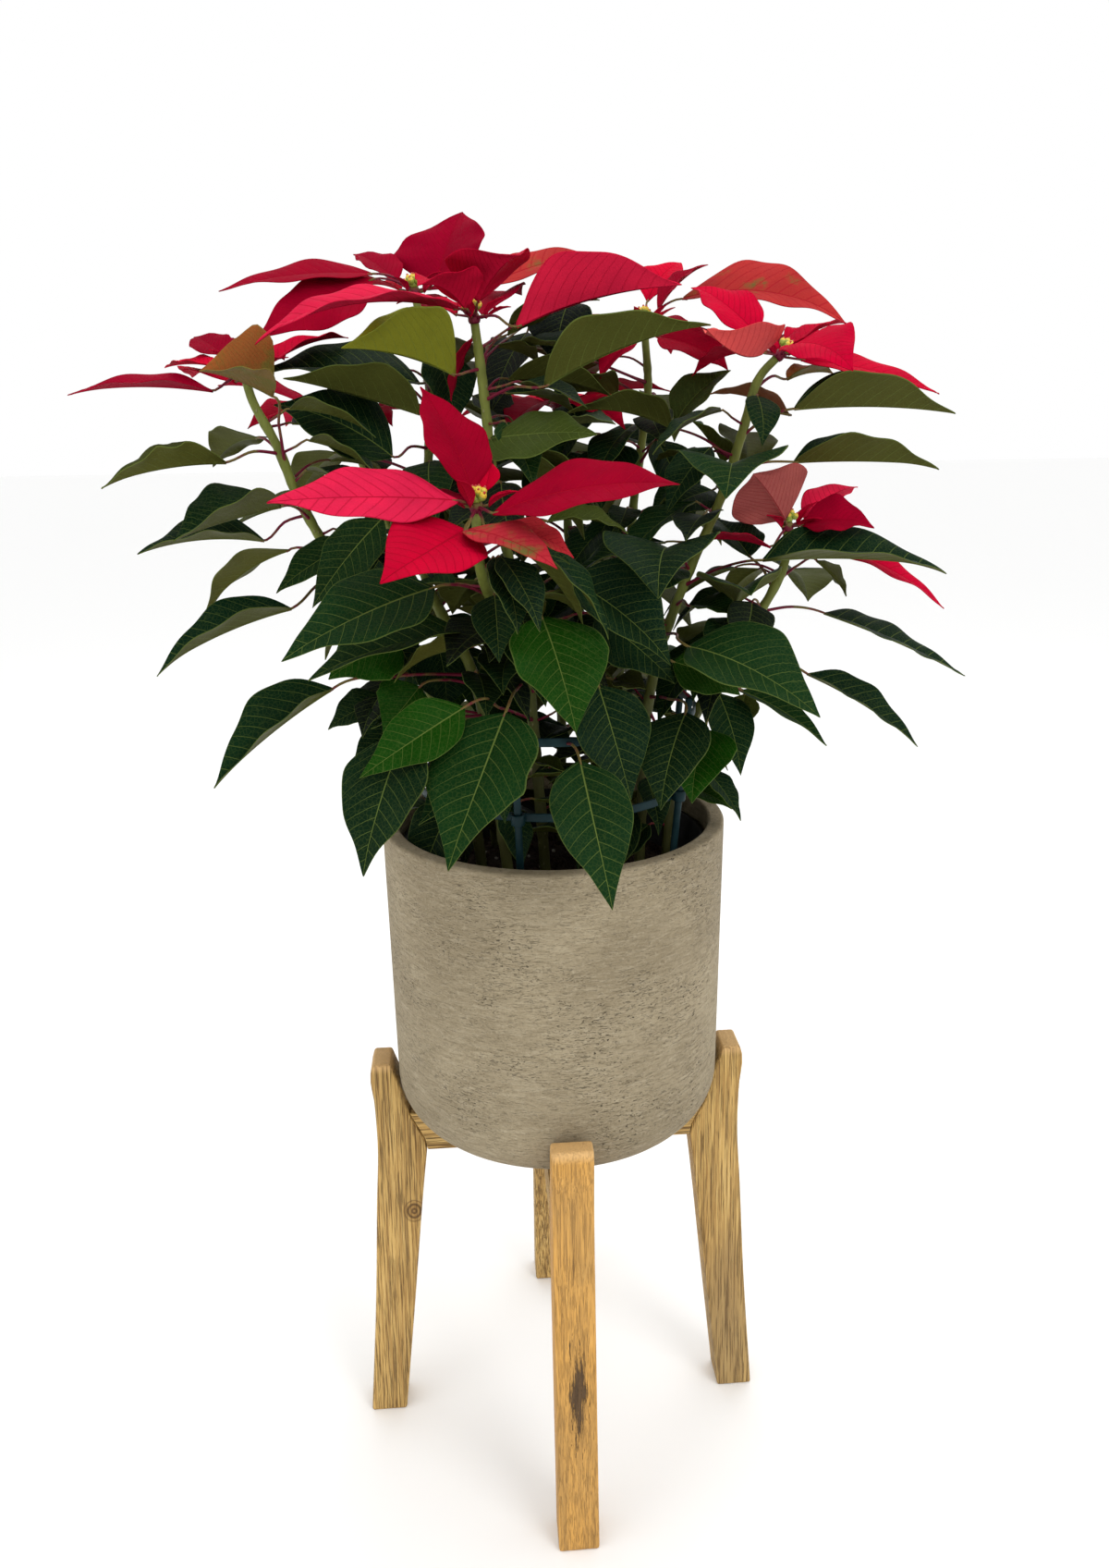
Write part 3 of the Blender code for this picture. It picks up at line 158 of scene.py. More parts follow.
# Bracts: bloom, seat, tip, width, roll, fold, bow and tone
BRACTS = [
    ("left", (-265, -30, 955), (-380, -20, 955), 46, 7, 18, 0.04, "dark"),
    ("left", (-265, -15, 975), (-310, 10, 975), 32, 10, 15, 0.05, "crimson"),
    ("left", (-260, 0, 980), (-290, 30, 995), 34, 20, 10, 0.05, "dark"),
    ("left", (-255, 10, 980), (-260, 50, 1000), 36, 0, 10, 0.05, "dark"),
    ("back_left", (-145, 90, 1055), (-275, 75, 1040), 50, 25, 8, 0.04, "dark"),
    ("back_left", (-145, 80, 1050), (-240, 25, 1000), 62, 40, 0, 0.03, "dark"),
    ("back_left", (-90, 115, 1048), (-65, 145, 1115), 108, 0, 10, 0.05, "dark"),
    ("back_left", (-125, 110, 1050), (-165, 150, 1080), 42, 10, 15, 0.05, "dark"),
    ("centre", (-70, -40, 1015), (-220, -100, 990), 64, 10, 15, 0.09, "pink"),
    ("centre", (-55, -45, 1020), (-25, -95, 1050), 82, 0, 25, 0.08, "crimson"),
    ("centre", (-65, -45, 1010), (-100, -100, 1020), 60, 0, 25, 0.10, "crimson"),
    ("centre", (-26, -60, 1000), (98, -85, 1028), 92, 2, 52, 0.05, "pink"),
    ("centre", (-50, 20, 1035), (65, 70, 1065), 55, 20, 10, 0.06, "russet"),
    ("centre", (-60, 0, 995), (-80, 10, 945), 34, 10, 10, 0.05, "dark"),
    ("back_right", (110, 115, 1025), (155, 120, 1065), 46, 10, 15, 0.08, "dark"),
    ("back_right", (105, 130, 1035), (145, 170, 1075), 44, 10, 15, 0.08, "crimson"),
    ("back_right", (110, 105, 1000), (165, 60, 970), 62, 20, 10, 0.08, "dark"),
    ("back_right", (90, 105, 1000), (50, 60, 965), 38, 0, 15, 0.05, "dark"),
    ("back_right", (85, 110, 1000), (-10, 75, 950), 42, 0, 15, 0.05, "dark"),
    ("back_right", (135, 125, 1040), (275, 75, 1020), 80, 30, 15, 0.10, "russet"),
    ("right", (175, -25, 980), (115, -95, 995), 78, 0, 35, -0.10, "coral"),
    ("right", (180, 15, 995), (130, 50, 1040), 66, 20, 10, 0.08, "crimson"),
    ("right", (210, 25, 995), (255, 60, 1015), 44, 20, 10, 0.05, "crimson"),
    ("right", (200, -20, 985), (235, -75, 965), 72, 20, 10, 0.14, "crimson"),
    ("right", (215, 5, 980), (325, -25, 955), 52, 20, 5, 0.04, "crimson"),
    ("right", (215, 25, 990), (270, 50, 1005), 36, 10, 10, 0.05, "crimson"),
    ("front", (-50, -170, 866), (72, -230, 888), 66, 28, 8, 0.05, "dark"),
    ("front", (-65, -145, 880), (-100, -110, 955), 66, 0, 10, 0.05, "dark"),
    ("front", (-75, -165, 875), (-200, -215, 880), 66, 30, 5, 0.02, "pink"),
    ("front", (-70, -175, 860), (-125, -260, 840), 68, 25, 10, 0.04, "crimson"),
    ("front", (-70, -175, 855), (-10, -235, 835), 46, 10, 10, 0.08, "spotted"),
    ("front", (-55, -165, 860), (5, -190, 845), 44, 10, 10, 0.08, "spotted"),
    ("front", (-70, -160, 870), (-105, -140, 880), 30, 0, 10, 0.05, "dark"),
    ("front", (-55, -145, 880), (-50, -130, 900), 18, 0, 10, 0.05, "crimson"),
    ("low_right", (195, -30, 845), (160, -60, 885), 70, -50, 10, 0.08, "dull"),
    ("low_right", (210, -30, 840), (265, -50, 840), 54, 30, 15, 0.10, "dark"),
    ("low_right", (220, 0, 825), (340, -20, 765), 48, 20, 10, 0.08, "crimson"),
]

# Leaves and bracts of the far side, by the same rule and draws as the solids
REAR_LEAVES = {
    "centre": (3, 690, 860, 60, 150),
    "right": (3, 700, 900, 30, 110),
    "back_right": (6, 680, 940, 15, 150),
    "left": (3, 730, 900, 80, 170),
    "back_left": (2, 820, 940, 70, 150),
    "low_right": (3, 690, 790, 20, 100),
    "rear_left": (6, 660, 890, 60, 240),
    "rear": (7, 660, 900, -20, 200),
}
REAR_BRACTS = {
    "left": (3, 40, 130),
    "back_left": (3, 40, 130),
    "centre": (2, 60, 140),
    "back_right": (2, 60, 150),
    "right": (3, 30, 130),
    "low_right": (3, 40, 160),
    "rear_left": (6, 0, 300),
    "rear": (6, 0, 300),
}
REAR_PETIOLE = (32 * MM, 46 * MM)
REAR_LEAF_LENGTH = (85 * MM, 112 * MM)
REAR_LEAF_SLIMNESS = (0.55, 0.68)
REAR_LEAF_DIP = (10, 40)
REAR_LEAF_LIFT = (5, 20)
REAR_LEAF_ROLL = (-15, 15)
REAR_BRACT_LENGTH = (68 * MM, 98 * MM)
REAR_BRACT_SLIMNESS = (0.46, 0.58)
REAR_BRACT_RISE = (-15, 20)
REAR_BRACT_TURN = (-8, 8)
REAR_BRACT_SEAT = (16, 24)
REAR_BRACT_ROLL = (-10, 10)
REAR_FOLD = 15
REAR_BOW = 0.08
REAR_TONES = ["deep", "mid", "deep", "bright", "deep", "mid", "olive"]
REAR_BRACT_TONES = ["crimson", "dark", "crimson", "pink", "crimson"]

# Inner leaves given one by one, behind the centre bloom: stem, height, seat, tip, width, roll and tone
BACKING = [
    ("centre", 975, (-30, 25, 985), (45, 5, 1012), 50, -15, "dusky"),
    ("centre", 975, (-10, 75, 1005), (-45, 40, 935), 62, 0, "dusky"),
    ("centre", 950, (-30, 35, 955), (60, 45, 940), 55, -30, "deep"),
    ("back_left", 980, (-90, 50, 985), (-75, 30, 925), 55, 0, "deep"),
    ("back_right", 940, (50, 130, 960), (15, 110, 900), 70, 0, "deep"),
    ("centre", 930, (-25, 55, 925), (10, 40, 865), 62, 0, "deep"),
    ("back_right", 900, (70, 85, 905), (50, 50, 850), 60, 0, "deep"),
    ("centre", 905, (-60, 45, 905), (-75, 25, 850), 58, 0, "dusky"),
    ("back_left", 930, (-60, 70, 950), (-20, 60, 910), 60, 20, "dusky"),
    ("centre", 900, (-20, 80, 905), (20, 75, 850), 62, 0, "dusky"),
    ("rear", 900, (20, 120, 900), (45, 90, 840), 62, 0, "deep"),
    ("centre", 985, (25, 78, 1028), (12, 42, 972), 58, 0, "dusky"),
]
# The other inner leaves follow a rule
INNER_TRIES = 12
INNER_LOW = 572 * MM
INNER_LENGTH = (55 * MM, 95 * MM)
INNER_PETIOLE = (14 * MM, 40 * MM)
INNER_DIP = (5, 55)
INNER_LIFT = (0, 15)
INNER_TURN = (-20, 20)
INNER_ROLL = (-20, 20)
INNER_SLIMNESS = (0.5, 0.64)
INNER_FORM = (14, 0.07, "leaf")
INNER_ROOM = 1.1
INNER_BELOW_TIP = 25 * MM
INNER_SPREAD = (180 * MM, 195 * MM)
INNER_TONES = ["deep", "deep", "mid", "deep", "dusky", "deep"]
GOLDEN_SHARE = 0.618

# Seeds of the random draws
REAR_SEED = 11
INNER_SEED = 5
STEM_SEED = 21
BLOOM_SEED = 33
BUD_SEED = 8
SOIL_SEED = 4
CRUMB_SEED = 7
GRIT_SEED = 9

# How far a blade's own tone may stray, and how much of it has turned
LEAF_SPREAD = (0.85, 1.15)
BRACT_SPREAD = (0.88, 1.12)
LEAF_TURNED = {"turning": 0.42, "rusty": 0.36}
BRACT_TURNED = {"russet": 0.30, "spotted": 0.38, "dull": 0.3, "coral": 0.22}
NOT_TURNED = -0.4

# Outlines: places along the blade and half widths there, as shares
OUTLINES = {
    "leaf": [(0, 0.05), (0.04, 0.27), (0.10, 0.56), (0.18, 0.82), (0.30, 0.99), (0.40, 1.0), (0.50, 0.94),
             (0.60, 0.79), (0.70, 0.60), (0.79, 0.39), (0.87, 0.23), (0.94, 0.10), (1, 0)],
    "toothed": [(0, 0.05), (0.04, 0.30), (0.10, 0.62), (0.18, 0.86), (0.28, 0.98), (0.38, 1.0), (0.46, 0.98),
                (0.54, 0.94), (0.61, 0.80), (0.70, 0.61), (0.80, 0.39), (0.90, 0.17), (1, 0)],
    "bract": [(0, 0.07), (0.05, 0.25), (0.12, 0.54), (0.22, 0.82), (0.32, 0.97), (0.41, 1.0), (0.50, 0.96),
              (0.60, 0.84), (0.71, 0.63), (0.81, 0.40), (0.89, 0.21), (0.95, 0.09), (1, 0)],
}
# Lobes on an outline: side, place, height as a share of the half width, and reach behind and ahead
LOBES = {
    "leaf": [],
    "toothed": [(-1, 0.53, 0.10, 0.10, 0.05)],
    "lobed": [(-1, 0.38, 0.07, 0.16, 0.07), (1, 0.55, 0.06, 0.14, 0.07)],
    "scalloped": [(-1, 0.30, 0.10, 0.08, 0.05), (-1, 0.52, 0.10, 0.08, 0.05), (-1, 0.70, 0.09, 0.07, 0.04),
                  (1, 0.38, 0.10, 0.09, 0.05), (1, 0.62, 0.10, 0.09, 0.05)],
    "jagged": [(1, 0.34, 0.14, 0.10, 0.05), (1, 0.56, 0.16, 0.10, 0.05), (-1, 0.45, 0.14, 0.12, 0.05)],
    "bract": [],
}


def metres(label, description, default, **limits):
    """A size in metres that a user may change."""
    return FloatProperty(name=label, description=description, default=default, unit="LENGTH", **limits)


def paint(label, description, red, green, blue):
    """A colour that a user may change."""
    return FloatVectorProperty(name=label, description=description, default=(red, green, blue),
                               subtype="COLOR")


class FoliageSettings(bpy.types.PropertyGroup):
    thickness: metres("Leaf thickness", "Thickness of a leaf blade", 0.0006, min=0.0003)
    spacing: metres("Row spacing", "Distance between the rows of points along a blade", 0.0034, min=0.001)
    wave: metres("Edge wave", "Height of the waves along a leaf's edge", 0.0017)
    quilting: metres("Quilting", "How far a leaf swells between its side veins", 0.0005)
    vein_pairs: IntProperty(name="Side veins", description="Pairs of side veins on a leaf",
                            default=11, min=2)
    fill_count: IntProperty(name="Inner leaves", description="Smaller leaves that fill the plant's middle",
                            default=210, min=0)
    petiole_radius: metres("Petiole radius", "Radius of a leaf stalk", 0.0014)
    deep: paint("Deep green", "Old leaves that face away from the light", 0.0030, 0.0150, 0.0055)
    mid: paint("Middle green", "Most leaves", 0.0045, 0.0215, 0.0050)
    bright: paint("Bright green", "Leaves in full light", 0.0065, 0.0390, 0.0018)
    olive: paint("Olive", "Leaves that are seen from below", 0.0360, 0.0440, 0.0080)
    yellow: paint("Yellow green", "The lit leaf beside the centre bloom", 0.2300, 0.2100, 0.0050)
    grey: paint("Grey green", "Leaves with a cool sheen", 0.0480, 0.0640, 0.0420)
    dusky: paint("Dusky green", "Dark leaves with reddish veins", 0.0065, 0.0100, 0.0080)
    turning: paint("Turning", "Leaves that turn from green to orange", 0.260, 0.085, 0.016)
    turned_part: paint("Olive part", "What is still olive on such a leaf", 0.115, 0.090, 0.016)
    rusty: paint("Rusty", "A brown-pink leaf under the right bloom", 0.420, 0.030, 0.045)
    vein: paint("Veins", "Midrib and side veins of a leaf", 0.1700, 0.2300, 0.0500)
    underside: paint("Underside", "Lower face of a leaf", 0.1000, 0.0980, 0.0180)
    petiole: paint("Petiole", "Leaf stalks", 0.140, 0.008, 0.026)
    stem: paint("Stem", "Green stems", 0.165, 0.190, 0.034)
    # Old stem colour: partly real bark, partly painted shade on the low stems inside the plant and pot
    bark: paint("Old stem", "Lower, older part of the stems", 0.050, 0.048, 0.018)


class BractSettings(bpy.types.PropertyGroup):
    wave: metres("Edge wave", "Height of the waves along a bract's edge", 0.0018)
    vein_pairs: IntProperty(name="Side veins", description="Pairs of side veins on a bract",
                            default=12, min=2)
    crimson: paint("Crimson", "Most bracts", 0.430, 0.0004, 0.022)
    pink: paint("Pink", "Bracts in full light", 0.600, 0.012, 0.052)
    coral: paint("Coral", "The pale bract of the right bloom", 0.640, 0.110, 0.080)
    dark: paint("Dark red", "Bracts that face away from the light", 0.230, 0.0003, 0.014)
    russet: paint("Russet", "Bracts that are part brown-green", 0.400, 0.026, 0.024)
    spotted: paint("Spotted", "Bracts with green flecks", 0.420, 0.022, 0.030)
    dull: paint("Dull red", "A bract that is seen from below", 0.330, 0.120, 0.085)
    green: paint("Green part", "What is still green on a bract", 0.110, 0.095, 0.025)
    vein: paint("Veins", "Veins of a bract", 0.300, 0.002, 0.014)
    underside: paint("Underside", "Lower face of a bract", 0.330, 0.012, 0.034)
    inner_count: IntProperty(name="Inner bracts", description="Small bracts round each bud cluster",
                             default=4, min=0)


class CyathiumSettings(bpy.types.PropertyGroup):
    bud_radius: metres("Bud radius", "Radius of a bud", 0.0028)
    bud_count: IntProperty(name="Buds", description="Buds in each cluster", default=9, min=3)
    cup: paint("Cup", "Green cup of a bud", 0.300, 0.380, 0.050)
    gland: paint("Gland", "Yellow lip of a bud", 0.720, 0.520, 0.040)
    tuft: paint("Tuft", "Red tip of a bud", 0.450, 0.030, 0.020)


class PlanterSettings(bpy.types.PropertyGroup):
    rim_radius: metres("Rim radius", "Outer radius at the rim", 0.150)
    base_radius: metres("Base radius", "Outer radius above the rounded base", 0.145)
    wall: metres("Wall", "Thickness of the wall", 0.014)
    base_fillet: metres("Base rounding", "Radius of the rounded base", 0.044)
    inner_fillet: metres("Inner rounding", "Radius inside the base", 0.030)
    floor: metres("Floor", "Thickness of the floor", 0.016)
    rim_rounding: metres("Rim rounding", "Radius of the rim's edges", 0.003)
    sides: IntProperty(name="Sides", description="Faces round the planter", default=160, min=32)
    cement: paint("Cement", "Main colour", 0.325, 0.268, 0.172)
    shade: paint("Dark cement", "Darker patches and strokes", 0.215, 0.172, 0.105)
    pale: paint("Pale cement", "Worn, paler strokes", 0.430, 0.370, 0.260)
    pit: paint("Pits", "Small holes and specks", 0.036, 0.026, 0.014)
    nursery: paint("Nursery pot", "Black plastic of the inner pot", 0.012, 0.012, 0.012)


class SoilSettings(bpy.types.PropertyGroup):
    crumbs: IntProperty(name="Crumbs", description="Loose crumbs on the soil", default=700, min=0)
    crumb_size: metres("Crumb size", "Radius of a large crumb", 0.0034)
    grit: IntProperty(name="Grit", description="White grains on the soil", default=60, min=0)
    peat: paint("Peat", "Colour of the soil", 0.020, 0.013, 0.009)
    grain: paint("Grit", "Colour of the grains", 0.420, 0.400, 0.360)


class StandSettings(bpy.types.PropertyGroup):
    width: metres("Timber width", "Width of a leg and of a bar", 0.034)
    rounding: metres("Edge rounding", "Radius of the timber's edges", 0.0022)
    wood: paint("Wood", "Main colour", 0.600, 0.385, 0.125)
    warm: paint("Warm wood", "Main colour of the front leg", 0.680, 0.350, 0.075)
    pale: paint("Pale grain", "Raised, pale fibres", 0.790, 0.590, 0.250)
    late: paint("Dark grain", "Dark lines of the grain", 0.280, 0.150, 0.042)
    weathered: paint("Weathered", "Greyer patches and streaks", 0.300, 0.200, 0.085)
    furrow: paint("Furrows", "Lines that brushing has cut out", 0.110, 0.055, 0.018)
    end_grain: paint("End grain", "Upper ends of the legs", 0.700, 0.440, 0.190)
    knot: paint("Knots", "Knot and weathered streak", 0.040, 0.022, 0.012)


class SupportSettings(bpy.types.PropertyGroup):
    band_height: metres("Band height", "Height of a hoop's flat band", 0.007)
    band_thickness: metres("Band thickness", "Thickness of the band", 0.002)
    stake_radius: metres("Stake radius", "Radius of a stake", 0.003)
    plastic: paint("Plastic", "Dark blue-green plastic", 0.0030, 0.0160, 0.0190)


class StageSettings(bpy.types.PropertyGroup):
    floor_size: metres("Floor", "Half width of the floor", 20.0)
    floor_colour: paint("Floor colour", "Plain pale floor", 0.97, 0.97, 0.965)
    key: FloatProperty(name="Key light", description="Strength of the soft key light", default=24.0, min=0)
    fill: FloatProperty(name="Fill light", description="Strength of the fill light", default=10.0, min=0)
    sky: FloatProperty(name="Room light", description="Strength of the light from all round",
                       default=1.0, min=0)


def set_inputs(tree, node, inputs):
    """Links or sets a node's inputs by name or number."""
    for key, value in inputs.items():
        socket = node.inputs[key]
        if isinstance(value, bpy.types.NodeSocket):
            tree.links.new(value, socket)
        elif isinstance(value, (tuple, list)) and len(value) == 3 and len(socket.default_value) == 4:
            socket.default_value = (*value, 1)
        else:
            socket.default_value = value


def tree_node(tree, kind, inputs=None, **settings):
    """Adds a node with its settings, and links or sets its inputs."""
    made = tree.nodes.new(kind)
    for key, value in settings.items():
        setattr(made, key, value)
    set_inputs(tree, made, inputs or {})
    return made


class Shade:
    """A material with a Principled shader, and short calls for its nodes."""

    def __init__(self, name, roughness, gloss=0.5):
        self.material = bpy.data.materials.new(name)
        self.material.use_nodes = True
        self.tree = self.material.node_tree
        self.shader = self.tree.nodes["Principled BSDF"]
        set_inputs(self.tree, self.shader, {"Roughness": roughness, "Specular IOR Level": gloss})

    def node(self, kind, inputs=None, **settings):
        return tree_node(self.tree, "ShaderNode" + kind, inputs, **settings)

    def math(self, operation, a, b=0.0, c=0.0):
        return self.node("Math", {0: a, 1: b, 2: c}, operation=operation).outputs[0]

    def plus(self, a, b):
        return self.math("ADD", a, b)

    def minus(self, a, b):
        return self.math("SUBTRACT", a, b)

    def times(self, a, b):
        return self.math("MULTIPLY", a, b)

    def smooth(self, value, low, high, start=0.0, end=1.0):
        """Goes from start to end while the value goes from low to high."""
        return self.node("MapRange", {"Value": value, "From Min": low, "From Max": high, "To Min": start,
                                      "To Max": end}, interpolation_type="SMOOTHSTEP").outputs[0]

    def mix(self, share, a, b, blend="MIX"):
        """Goes from colour a to colour b as the share goes from 0 to 1."""
        made = self.node("Mix", data_type="RGBA", blend_type=blend)
        ends = [end if isinstance(end, bpy.types.NodeSocket) else tuple(end) for end in (a, b)]
        set_inputs(self.tree, made, {0: share, 6: ends[0], 7: ends[1]})
        return made.outputs[2]

    def tinted(self, colour, tint):
        return self.mix(1.0, colour, tint, "MULTIPLY")

    def place(self, scale=(1, 1, 1), shift=(0, 0, 0)):
        """Object coordinates, scaled and shifted."""
        here = self.node("TexCoord").outputs["Object"]
        return self.node("Mapping", {"Vector": here, "Scale": scale, "Location": shift}).outputs[0]

    def level(self):
        """Height above the floor."""
        return self.node("SeparateXYZ", {0: self.place()}).outputs["Z"]

    def attribute(self, name, output="Fac"):
        return self.node("Attribute", attribute_name=name).outputs[output]

    def noise(self, vector, scale, detail=3.0, roughness=0.5, distortion=0.0):
        return self.node("TexNoise", {"Vector": vector, "Scale": scale, "Detail": detail,
                                      "Roughness": roughness, "Distortion": distortion}).outputs[0]

    def cells(self, vector, scale, feature="F1"):
        inputs = {"Vector": vector, "Scale": scale}
        return self.node("TexVoronoi", inputs, feature=feature).outputs["Distance"]

    def bump(self, height, distance):
        return self.node("Bump", {"Height": height, "Distance": distance, "Strength": 1.0}).outputs[0]

    def finish(self, colour, roughness=None, normal=None):
        """Gives the shader its colour, and its roughness and bump where there are any."""
        given = {"Base Color": colour, "Roughness": roughness, "Normal": normal}
        inputs = {key: value for key, value in given.items() if value is not None}
        set_inputs(self.tree, self.shader, inputs)
        return self.material


def scaled(colour, share):
    """A colour made darker or brighter."""
    return tuple(share * part for part in colour)


def blade_material(name, vein, underside, part_colour, pairs, roughness, vein_share, vein_width, gloss,
                   below_share):
    """A leaf or bract. Colour comes from the blade's own attributes: its tint, how much of it has
    turned, and which face a point is on. Veins follow the blade's own coordinates."""
    shade = Shade(name, roughness, gloss)
    uv = shade.node("SeparateXYZ", {0: shade.node("UVMap", uv_map="blade").outputs[0]})
    along = uv.outputs["X"]
    side = shade.math("GREATER_THAN", uv.outputs["Y"], 0.5)
    reach, under, turned, own = (shade.attribute(key) for key in ("reach", "under", "turned", "own"))
    tint = shade.attribute("tint", "Color")
    bow = shade.times(shade.times(reach, reach), VEIN_BOW)
    lean = shade.math("MULTIPLY_ADD", reach, VEIN_LEAN, bow)
    steps = shade.times(shade.minus(along, lean), float(pairs))
    steps = shade.plus(steps, shade.math("MULTIPLY_ADD", side, VEIN_STAGGER, own))
    off_vein = shade.math("ABSOLUTE", shade.minus(shade.math("FRACT", steps), 0.5))
    fading = shade.smooth(reach, 0.0, 0.34, vein_width, vein_width / 2)
    side_vein = shade.minus(1.0, shade.smooth(off_vein, shade.times(fading, 0.25), fading))
    side_vein = shade.times(side_vein, shade.smooth(along, 0.99, 0.86))
    rib_width = shade.smooth(along, 0.0, 1.0, 0.0095, 0.003)
    rib = shade.minus(1.0, shade.smooth(reach, shade.times(rib_width, 0.35), rib_width))
    place = shade.place()
    net = shade.minus(1.0, shade.smooth(shade.cells(place, 330.0, "DISTANCE_TO_EDGE"), 0.0, 0.10))
    veins = shade.math("MAXIMUM", rib, shade.times(side_vein, 0.62))
    veins = shade.math("MAXIMUM", veins, shade.times(net, 0.16))
    mottle = shade.noise(place, 42.0, 4.0, 0.6)
    patches = shade.noise(place, 13.0, 2.0)
    lit = shade.smooth(mottle, 0.25, 0.8, 0.0, 0.45)
    colour = shade.mix(lit, tint, shade.tinted(tint, (1.5, 1.45, 1.3)))
    dim = shade.smooth(patches, 0.35, 0.7, 0.0, 0.40)
    colour = shade.mix(dim, colour, shade.tinted(colour, (0.55, 0.6, 0.6)))
    turn = shade.plus(shade.plus(mottle, shade.times(patches, 0.7)), turned)
    colour = shade.mix(shade.smooth(turn, 1.28, 1.50), colour, part_colour)
    colour = shade.mix(under, colour, shade.mix(below_share, colour, underside))
    strength = shade.times(veins, shade.smooth(under, 0.0, 1.0, vein_share, vein_share * 0.75))
    colour = shade.mix(strength, colour, vein)
    edge = shade.smooth(shade.attribute("edge"), 0.965, 1.0, 0.0, 0.35)
    colour = shade.mix(edge, colour, vein)
    grain = shade.noise(place, 600.0, 2.0)
    height = shade.math("MULTIPLY_ADD", veins, -0.8, shade.times(grain, 0.25))
    height = shade.plus(height, shade.times(mottle, 0.5))
    rough = shade.smooth(mottle, 0.2, 0.9, roughness - 0.07, roughness + 0.10)
    return shade.finish(colour, rough, shade.bump(height, 0.0005))


def stem_material(settings):
    """Green above and barky, darker below (partly real bark, partly painted shade low in the plant and pot),
    with streaks and the pale scars of old leaves.
    """
    shade = Shade("stem", 0.5, 0.2)
    streaks = shade.noise(shade.place((1, 1, 0.22)), 120.0, 4.0, 0.6)
    patches = shade.noise(shade.place((1, 1, 0.6)), 28.0, 3.0)
    # Darker and barkier towards the bottom and in patches: partly real woody bark, partly painted shade low
    # in the plant and inside the pot
    woody_and_shade = shade.plus(shade.smooth(shade.level(), 0.92, 0.56), shade.times(shade.minus(patches, 0.5), 0.9))
    colour = shade.mix(shade.smooth(streaks, 0.3, 0.75), settings.stem, scaled(settings.stem, 0.62))
    colour = shade.mix(shade.smooth(woody_and_shade, 0.25, 1.0, 0.0, 0.8), colour, settings.bark)
    scars = shade.smooth(shade.cells(shade.place((1, 1, 0.5)), 150.0), 0.16, 0.06)
    colour = shade.mix(shade.times(scars, 0.5), colour, (0.30, 0.27, 0.15))
    bump = shade.bump(shade.plus(streaks, scars), 0.0006)
    return shade.finish(colour, shade.smooth(streaks, 0.2, 0.8, 0.42, 0.62), bump)


def petiole_material(settings):
    """Red leaf stalks that are greener in patches and towards the blade."""
    shade = Shade("petiole", 0.45, 0.15)
    noise = shade.noise(shade.place(), 90.0, 3.0)
    green = shade.smooth(shade.plus(noise, shade.times(shade.attribute("own"), 0.35)), 0.62, 0.85)
    greener = tuple(0.5 * a + 0.35 * b for a, b in zip(settings.stem, settings.petiole))
    return shade.finish(shade.mix(green, settings.petiole, greener), None, shade.bump(noise, 0.0003))


def cement_material(settings):
    """Hand-brushed cement: soft patches, fine sand, wavy level strokes, and pits that lie in groups."""
    shade = Shade("cement", 0.85, 0.3)
    patches = shade.noise(shade.place((1, 1, 1.5)), 6.5, 3.0, 0.55)
    sand = shade.noise(shade.place(), 380.0, 4.0, 0.75)
    strokes = shade.noise(shade.place((1, 1, 6.0)), 55.0, 4.0, 0.65, 1.0)
    scratches = shade.noise(shade.place((1, 1, 6.5), (3, 1, 2)), 190.0, 3.0, 0.65, 1.2)
    pits = shade.noise(shade.place((1, 1, 2.2), (1, 4, 2)), 300.0, 2.0, 0.55, 0.8)
    groups = shade.noise(shade.place((1, 1, 1.3), (2, 7, 5)), 12.0, 3.0, 0.6)
    groups = shade.smooth(groups, 0.42, 0.60, 0.12, 1.0)
    colour = settings.cement
    for pattern, low, high, most, toward in (
            (patches, 0.36, 0.66, 0.75, settings.shade), (strokes, 0.50, 0.70, 0.35, settings.pale),
            (strokes, 0.50, 0.34, 0.75, settings.shade), (sand, 0.52, 0.72, 0.45, settings.pale),
            (sand, 0.48, 0.30, 0.60, settings.shade)):
        colour = shade.mix(shade.smooth(pattern, low, high, 0.0, most), colour, toward)
    dark = shade.smooth(scratches, 0.58, 0.66)
    dark = shade.times(dark, shade.math("MULTIPLY_ADD", groups, 0.55, 0.25))
    holes = shade.times(shade.smooth(pits, 0.645, 0.690), groups)
    colour = shade.mix(dark, colour, scaled(settings.shade, 0.45))
    colour = shade.mix(shade.times(holes, 0.9), colour, settings.pit)
    height = shade.math("MULTIPLY_ADD", holes, -1.6, shade.math("MULTIPLY_ADD", dark, -0.8, strokes))
    height = shade.math("MULTIPLY_ADD", sand, 0.35, height)
    rough = shade.smooth(strokes, 0.3, 0.7, 0.92, 0.78)
    return shade.finish(colour, rough, shade.bump(height, 0.0008))


